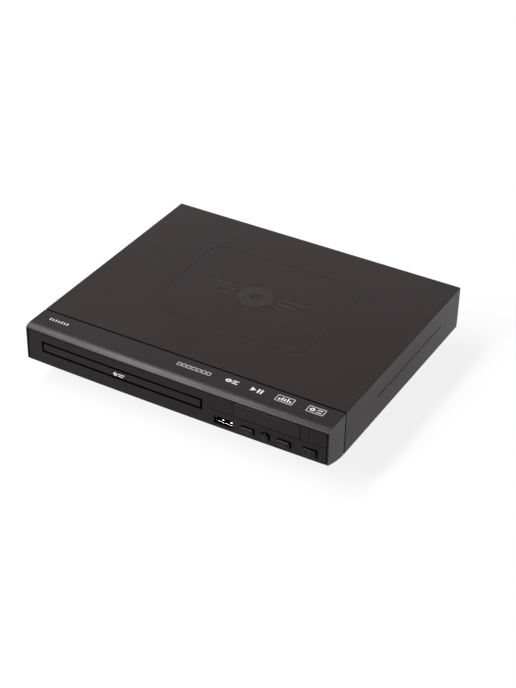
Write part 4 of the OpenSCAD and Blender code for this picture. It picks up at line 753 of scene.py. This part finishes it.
def makeLamp():
    spot = bezel["lamp"]
    front = faceY(spot["x"]) - lampGuide["proud"]
    rows = [(shrink, front + down) for shrink, down in lampGuide["crown"]] + [(0.0, lampGuide["back"])]
    loops = []
    for shrink, y in rows:
        outline = roundedOutline(lampGuide["width"] - 2 * shrink, lampGuide["height"] - 2 * shrink,
                                 lampGuide["radius"] - shrink, steps=5)
        loops.append(alongY(outline, y, spot["x"], spot["z"]))
    bm = bmesh.new()
    joinLoops(bm, loops)
    obj = meshFrom("lampGuide", bm)
    easeEdges(obj, lampGuide["ease"])
    dress(obj, "chassis", "lamp_plastic", ["power_led"])


makeLamp()
print("front: tray door, window and lamp")

# ---- buttons ----

cap = {"out": 1.5, "crown": ((0.9, 0.0), (0.45, 0.05), (0.2, 0.16), (0.05, 0.34), (0.0, 0.55)),
       "flange": 1.04, "flangeThick": 0.8, "stem": 1.5, "stemEnd": -86.1, "wallIn": 2.5,
       "leastRadius": 0.25, "ease": 0.12}


def makeButton(node, key):
    # a crowned cap, with a flange behind the bezel's wall and a stem to its switch
    face = faceY(key["x"])
    wallIn, flangeIn = face + cap["wallIn"], face + cap["wallIn"] + cap["flangeThick"]

    def loopAt(outline, y):
        return alongY(outline, y, key["x"], keyRow["z"])

    def capOutline(shrink):
        return roundedOutline(key["width"] - 2 * shrink, key["height"] - 2 * shrink,
                              max(cap["leastRadius"], key["radius"] - shrink), steps=8)

    flange = roundedOutline(key["width"] + 2 * cap["flange"], key["height"], key["radius"], steps=8)
    stem = roundOutline(cap["stem"], steps=24)
    crown = [loopAt(capOutline(shrink), face - cap["out"] + down) for shrink, down in cap["crown"]]
    bm = bmesh.new()
    joinLoops(bm, [*crown, loopAt(capOutline(0), wallIn)])
    joinLoops(bm, [loopAt(flange, wallIn + hair), loopAt(flange, flangeIn)])
    joinLoops(bm, [loopAt(stem, flangeIn + hair), loopAt(stem, cap["stemEnd"])])
    obj = meshFrom(node + "Cap", bm)
    easeEdges(obj, cap["ease"])
    dress(obj, node, "button_plastic", [node])


for node, key in keys.items():
    makeButton(node, key)
print("buttons:", len(keys))

# ---- printed and moulded marks, all plain shapes ----

mark = {"thick": 0.035, "sunk": 0.01, "corner": 0.12, "leastCorner": 0.1, "keyInset": 0.02}


def onTop(x, y, h):
    return (x, y, body["top"] + h)


def onFace(x, z, h):
    return (x, faceY(x) - h, z)


def onKey(key):
    front = faceY(key["x"]) - cap["out"] + mark["keyInset"]
    return lambda x, z, h: (key["x"] + x, front - h, keyRow["z"] + z)


def shifted(outline, dx, dy):
    return [(x + dx, y + dy) for x, y in outline]


def plateAt(bm, place, *outline):
    joinLoops(bm, [[place(x, y, h) for x, y in outline] for h in (-mark["sunk"], mark["thick"])])


def ringAt(bm, place, outer, inner):
    ringSolid(bm, *([place(x, y, h) for x, y in outline] for h in (-mark["sunk"], mark["thick"])
                    for outline in (outer, inner)))


def barAt(bm, place, x0, x1, y0, y1, radius=mark["corner"]):
    bar = roundedOutline(x1 - x0, y1 - y0, radius, steps=3)
    plateAt(bm, place, *shifted(bar, (x0 + x1) / 2, (y0 + y1) / 2))


def discAt(bm, place, x, y, outer, inner, squash=1.0):
    ringAt(bm, place, *(shifted(roundOutline(radius, 36, squash), x, y) for radius in (outer, inner)))


def frameAt(bm, place, x0, x1, y0, y1, stroke, radius):
    middle = ((x0 + x1) / 2, (y0 + y1) / 2)
    outer = roundedOutline(x1 - x0, y1 - y0, radius, steps=5)
    inner = roundedOutline(x1 - x0 - 2 * stroke, y1 - y0 - 2 * stroke,
                           max(mark["leastCorner"], radius - stroke), steps=5)
    ringAt(bm, place, shifted(outer, *middle), shifted(inner, *middle))


# bars and frames go from x0 to x1 and y0 to y1, discs lie round x and y, plates join corners; mm
topMarks = {
    "level meter": [(barAt, -101.7 + i * 2.2, -100.85 + i * 2.2, -81.7, -79.6 + rise)
                    for i, rise in enumerate((0.5, 0, 0.3, 0.1, 0.5, 0.2, 0.4))],
    "film strip": [(frameAt, -3.9 + i * 3.6, -1.1 + i * 3.6, -81.9, -78.8, 0.34, 0.3) for i in range(7)],
    "disc and lines": [(discAt, 33.3, -79.9, 2.1, 0.75, 0.8), (barAt, 36.0, 40.2, -81.6, -80.9),
                       (barAt, 36.0, 39.1, -80.2, -79.5), (barAt, 36.0, 40.2, -78.8, -78.1)],
    "arrow and bars": [(plateAt, (49.6, -82.2), (53.2, -80.1), (49.6, -78.0)),
                       (barAt, 54.2, 55.5, -82.2, -78.0), (barAt, 56.4, 57.7, -82.2, -78.0)],
    "framed bars": [(frameAt, 67.2, 79.2, -82.9, -76.6, 0.4, 0.5),
                    *((barAt, 69.0 + i * 1.9, 70.1 + i * 1.9, -81.5, -80.3 + rise)
                      for i, rise in enumerate((1.0, 2.2, 1.5, 2.5, 0.7)))],
    "framed disc": [(frameAt, 88.9, 100.7, -82.9, -76.6, 0.4, 0.5), (discAt, 92.3, -79.75, 1.8, 0.7, 0.9),
                    (barAt, 95.2, 99.0, -81.3, -80.6), (barAt, 95.2, 99.0, -79.0, -78.3)],
}
doorMark = [(discAt, -41.6, 28.5, 1.35, 0.5), (barAt, -39.5, -34.4, 28.95, 29.55),
            (barAt, -39.5, -35.6, 27.45, 28.05)]
keyMarks = {
    "open_button": [(plateAt, (-0.8, -0.1), (0.8, -0.1), (0, 0.75)), (barAt, -0.8, 0.8, -0.6, -0.32, 0.08)],
    "play_button": [(plateAt, (-0.6, -0.75), (0.75, 0), (-0.6, 0.75))],
    "stop_button": [(barAt, -0.55, 0.55, -0.55, 0.55, 0.08)],
    "power_button": [(discAt, 0, -0.1, 0.95, 0.68), (barAt, -0.14, 0.14, 0.1, 1.25, 0.1)],
}


def makeMark(name, shapes, place, bodyName, finish):
    bm = bmesh.new()
    for shape, *numbers in shapes:
        shape(bm, place, *numbers)
    dress(meshFrom(name, bm), bodyName, finish)


makeMark("topMarks", sum(topMarks.values(), []), onTop, "chassis", "ink_white")
makeMark("doorMark", doorMark, onFace, "tray", "ink_white")
for node, shapes in keyMarks.items():
    makeMark(node + "Mark", shapes, onKey(keys[node]), node, "rear_plastic")
print("marks: on the strip, on the door and on", len(keyMarks), "buttons")

# ---- socket on the front ----

usb = {
    "x": 38.38, "z": 21.5, "width": 13.1, "height": 5.3, "wall": 0.35, "radius": 0.6, "leastRadius": 0.15,
    "front": -92.2, "back": -80.5, "darkFrom": 0.1, "ease": 0.05,
    # how far in and how far behind the front: the flare, its flat rim and the lip
    "mouth": ((0.0, 0.8), (-0.25, 0.15), (-0.25, 0.0), (-0.13, 0.0), (-0.06, 0.07), (0.35, 1.2)),
}
tongue = {"width": 11.2, "z": (0.4, 2.0), "front": -91.2, "ease": 0.2}
contacts = {"count": 4, "pitch": 2.3, "width": 1.0, "thick": 0.12, "y": (-90.8, -82.5)}
springs = {  # the profile is how far along and how far above the lower wall
    "x": (-1.9, 3.85), "y": -91.3, "width": 1.15, "thick": 0.15,
    "profile": ((0, 0.5), (0.12, 0.65), (0.3, 0.75), (0.9, 0.8), (1.8, 0.65), (3.0, 0.4), (4.5, 0.17)),
}


def makeSocket():
    # the shell, bright metal outside and on its rim, painted black inside as shade
    rows = [(0.0, usb["back"]), *((inset, usb["front"] + down) for inset, down in usb["mouth"]),
            (usb["wall"], usb["back"] - 1)]
    loops = []
    for inset, y in rows:
        outline = roundedOutline(usb["width"] - 2 * inset, usb["height"] - 2 * inset,
                                 max(usb["leastRadius"], usb["radius"] - inset), steps=6)
        loops.append(alongY(outline, y, usb["x"], usb["z"]))
    bm = bmesh.new()
    joinLoops(bm, loops)
    obj = meshFrom("usbShell", bm)
    dress(obj, "chassis", "contact_plating", ["usb_port"])
    obj.data.materials.append(finishes["seam_black"])
    # inward faces from just behind the front are painted near-black as shade
    for polygon in obj.data.polygons:
        away = polygon.center - Vector((usb["x"], 0, usb["z"])) * mm
        inward = away.x * polygon.normal.x + away.z * polygon.normal.z < 0
        polygon.material_index = int(inward and polygon.center.y > (usb["front"] + usb["darkFrom"]) * mm)
    easeEdges(obj, usb["ease"])


def makeTongue():
    z0, z1 = (usb["z"] + v for v in tongue["z"])
    x0, x1 = (usb["x"] + side * tongue["width"] / 2 for side in (-1, 1))
    obj = boxSolid("usbTongue", (x0, tongue["front"], z0), (x1, usb["back"] - 1, z1))
    easeEdges(obj, tongue["ease"])
    dress(obj, "chassis", "socket_plastic", ["usb_port"])


def barLoop(x, width, y, low, high):
    x0, x1 = x - width / 2, x + width / 2
    return [(x0, y, low), (x1, y, low), (x1, y, high), (x0, y, high)]


def makeContacts():
    # flat blades under the tongue
    high = usb["z"] + tongue["z"][0]
    low = high - contacts["thick"]
    bm = bmesh.new()
    for i in range(contacts["count"]):
        x = usb["x"] + (i - (contacts["count"] - 1) / 2) * contacts["pitch"]
        joinLoops(bm, [barLoop(x, contacts["width"], y, low, high) for y in contacts["y"]])
    dress(meshFrom("usbContacts", bm), "chassis", "contact_plating")


def makeSprings():
    # fingers that rise from the lower wall to a bent tip
    floor = usb["z"] - usb["height"] / 2 + usb["wall"]
    bm = bmesh.new()
    for dx in springs["x"]:
        joinLoops(bm, [barLoop(usb["x"] + dx, springs["width"], springs["y"] + along,
                               floor + rise - springs["thick"], floor + rise)
                       for along, rise in springs["profile"]])
    dress(meshFrom("usbSprings", bm), "chassis", "contact_plating")


makeSocket()
makeTongue()
makeContacts()
makeSprings()
print("socket: metal shell, tongue, contacts and springs")

# ---- nodes that keep their shape, with eased edges ----

eased = {  # edge radius in mm
    "disc_tray": 0.3, "rubber_feet": 0.8, "cover_screws": 0.15, "rear_screws": 0.15, "phono_sleeves": 0.12,
    "phono_inserts": 0.12, "hdmi_socket": 0.12, "mains_inlet": 0.3, "inlet_pins": 0.4, "loader_frame": 0.2,
    "turntable": 0.2, "disc_clamp": 0.3, "clamp_bridge": 0.15, "lens_holder": 0.2, "loading_motor": 0.3,
    "main_chip": 0.1, "phono_housings": 0.3,
}
slotOf = {part["node"]: part["material_slot"] for part in frame["record"]["subparts"]}
bodyOf = {node: name for name, nodes in frame["record"]["behaviour"]["bodies"].items() for node in nodes}


def easeNode(node, width):
    # a copy of the node's mesh with its flat faces joined up and its edges rounded
    bm = bmesh.new()
    bm.from_mesh(frame["nodes"][node].data)
    bmesh.ops.remove_doubles(bm, verts=bm.verts, dist=easing["weld"])
    bmesh.ops.dissolve_limit(bm, angle_limit=math.radians(easing["flatAngle"]), verts=bm.verts,
                             edges=bm.edges)
    obj = meshFrom(node + "Eased", bm)
    easeEdges(obj, width)
    dress(obj, bodyOf[node], slotOf[node], [node])


for node, width in eased.items():
    easeNode(node, width)

kept = 0
for node, obj in frame["nodes"].items():
    for spot in obj.material_slots:
        spot.link = "OBJECT"
        spot.material = finishes[slotOf[node]]
    kept += not obj.hide_render
print("nodes: eased", len(eased), "and kept", kept)

# ---- floor and backdrop ----

stage = {  # width in metres; level lights the scene, ownLight and mirrored are how bright the floor shows
    "width": 12.0, "paint": (0.86, 0.86, 0.86), "ownLight": 0.86, "mirrored": 0.76, "level": 0.06,
}


def larger(tree, first, second):
    return addNode(tree, "ShaderNodeMath", {0: first, 1: second}, operation="MAXIMUM").outputs["Value"]


def makeFloor():
    mat = bpy.data.materials.new("paleFloor")
    mat.use_nodes = True
    tree = mat.node_tree
    tree.nodes.clear()
    out = tree.nodes.new("ShaderNodeOutputMaterial")
    paint = addNode(tree, "ShaderNodeBsdfDiffuse", {"Color": (*stage["paint"], 1)})
    white = addNode(tree, "ShaderNodeEmission", {"Color": (1, 1, 1, 1), "Strength": 1.0})
    path = addNode(tree, "ShaderNodeLightPath")
    direct = remap(tree, path.outputs["Is Camera Ray"], 0.0, stage["ownLight"], 0.0, 1.0)
    bounced = larger(tree, path.outputs["Is Glossy Ray"], path.outputs["Is Transmission Ray"])
    mirrored = remap(tree, bounced, 0.0, stage["mirrored"], 0.0, 1.0)
    both = addNode(tree, "ShaderNodeMixShader", {0: larger(tree, direct, mirrored),
                                                 1: paint.outputs["BSDF"], 2: white.outputs["Emission"]})
    tree.links.new(both.outputs["Shader"], out.inputs["Surface"])
    half = stage["width"] / 2
    bm = bmesh.new()
    corners = ((-half, -half), (half, -half), (half, half), (-half, half))
    bm.faces.new([bm.verts.new((x, y, 0)) for x, y in corners])
    floor = meshFrom("paleFloor", bm)
    floor.data.materials.append(mat)


def makeRoom():
    # white to the camera and in reflections, dim as a light
    world = bpy.data.worlds.new("paleRoom")
    bpy.context.scene.world = world
    world.use_nodes = True
    tree = world.node_tree
    tree.nodes.clear()
    out = tree.nodes.new("ShaderNodeOutputWorld")
    path = addNode(tree, "ShaderNodeLightPath")
    seen = larger(tree, path.outputs["Is Camera Ray"], path.outputs["Is Glossy Ray"])
    seen = larger(tree, seen, path.outputs["Is Transmission Ray"])
    level = remap(tree, seen, stage["level"], 1.0, 0.0, 1.0)
    sky = addNode(tree, "ShaderNodeBackground", {"Color": (1, 1, 1, 1), "Strength": level})
    tree.links.new(sky.outputs["Background"], out.inputs["Surface"])


makeFloor()
makeRoom()
print("stage: floor and room")
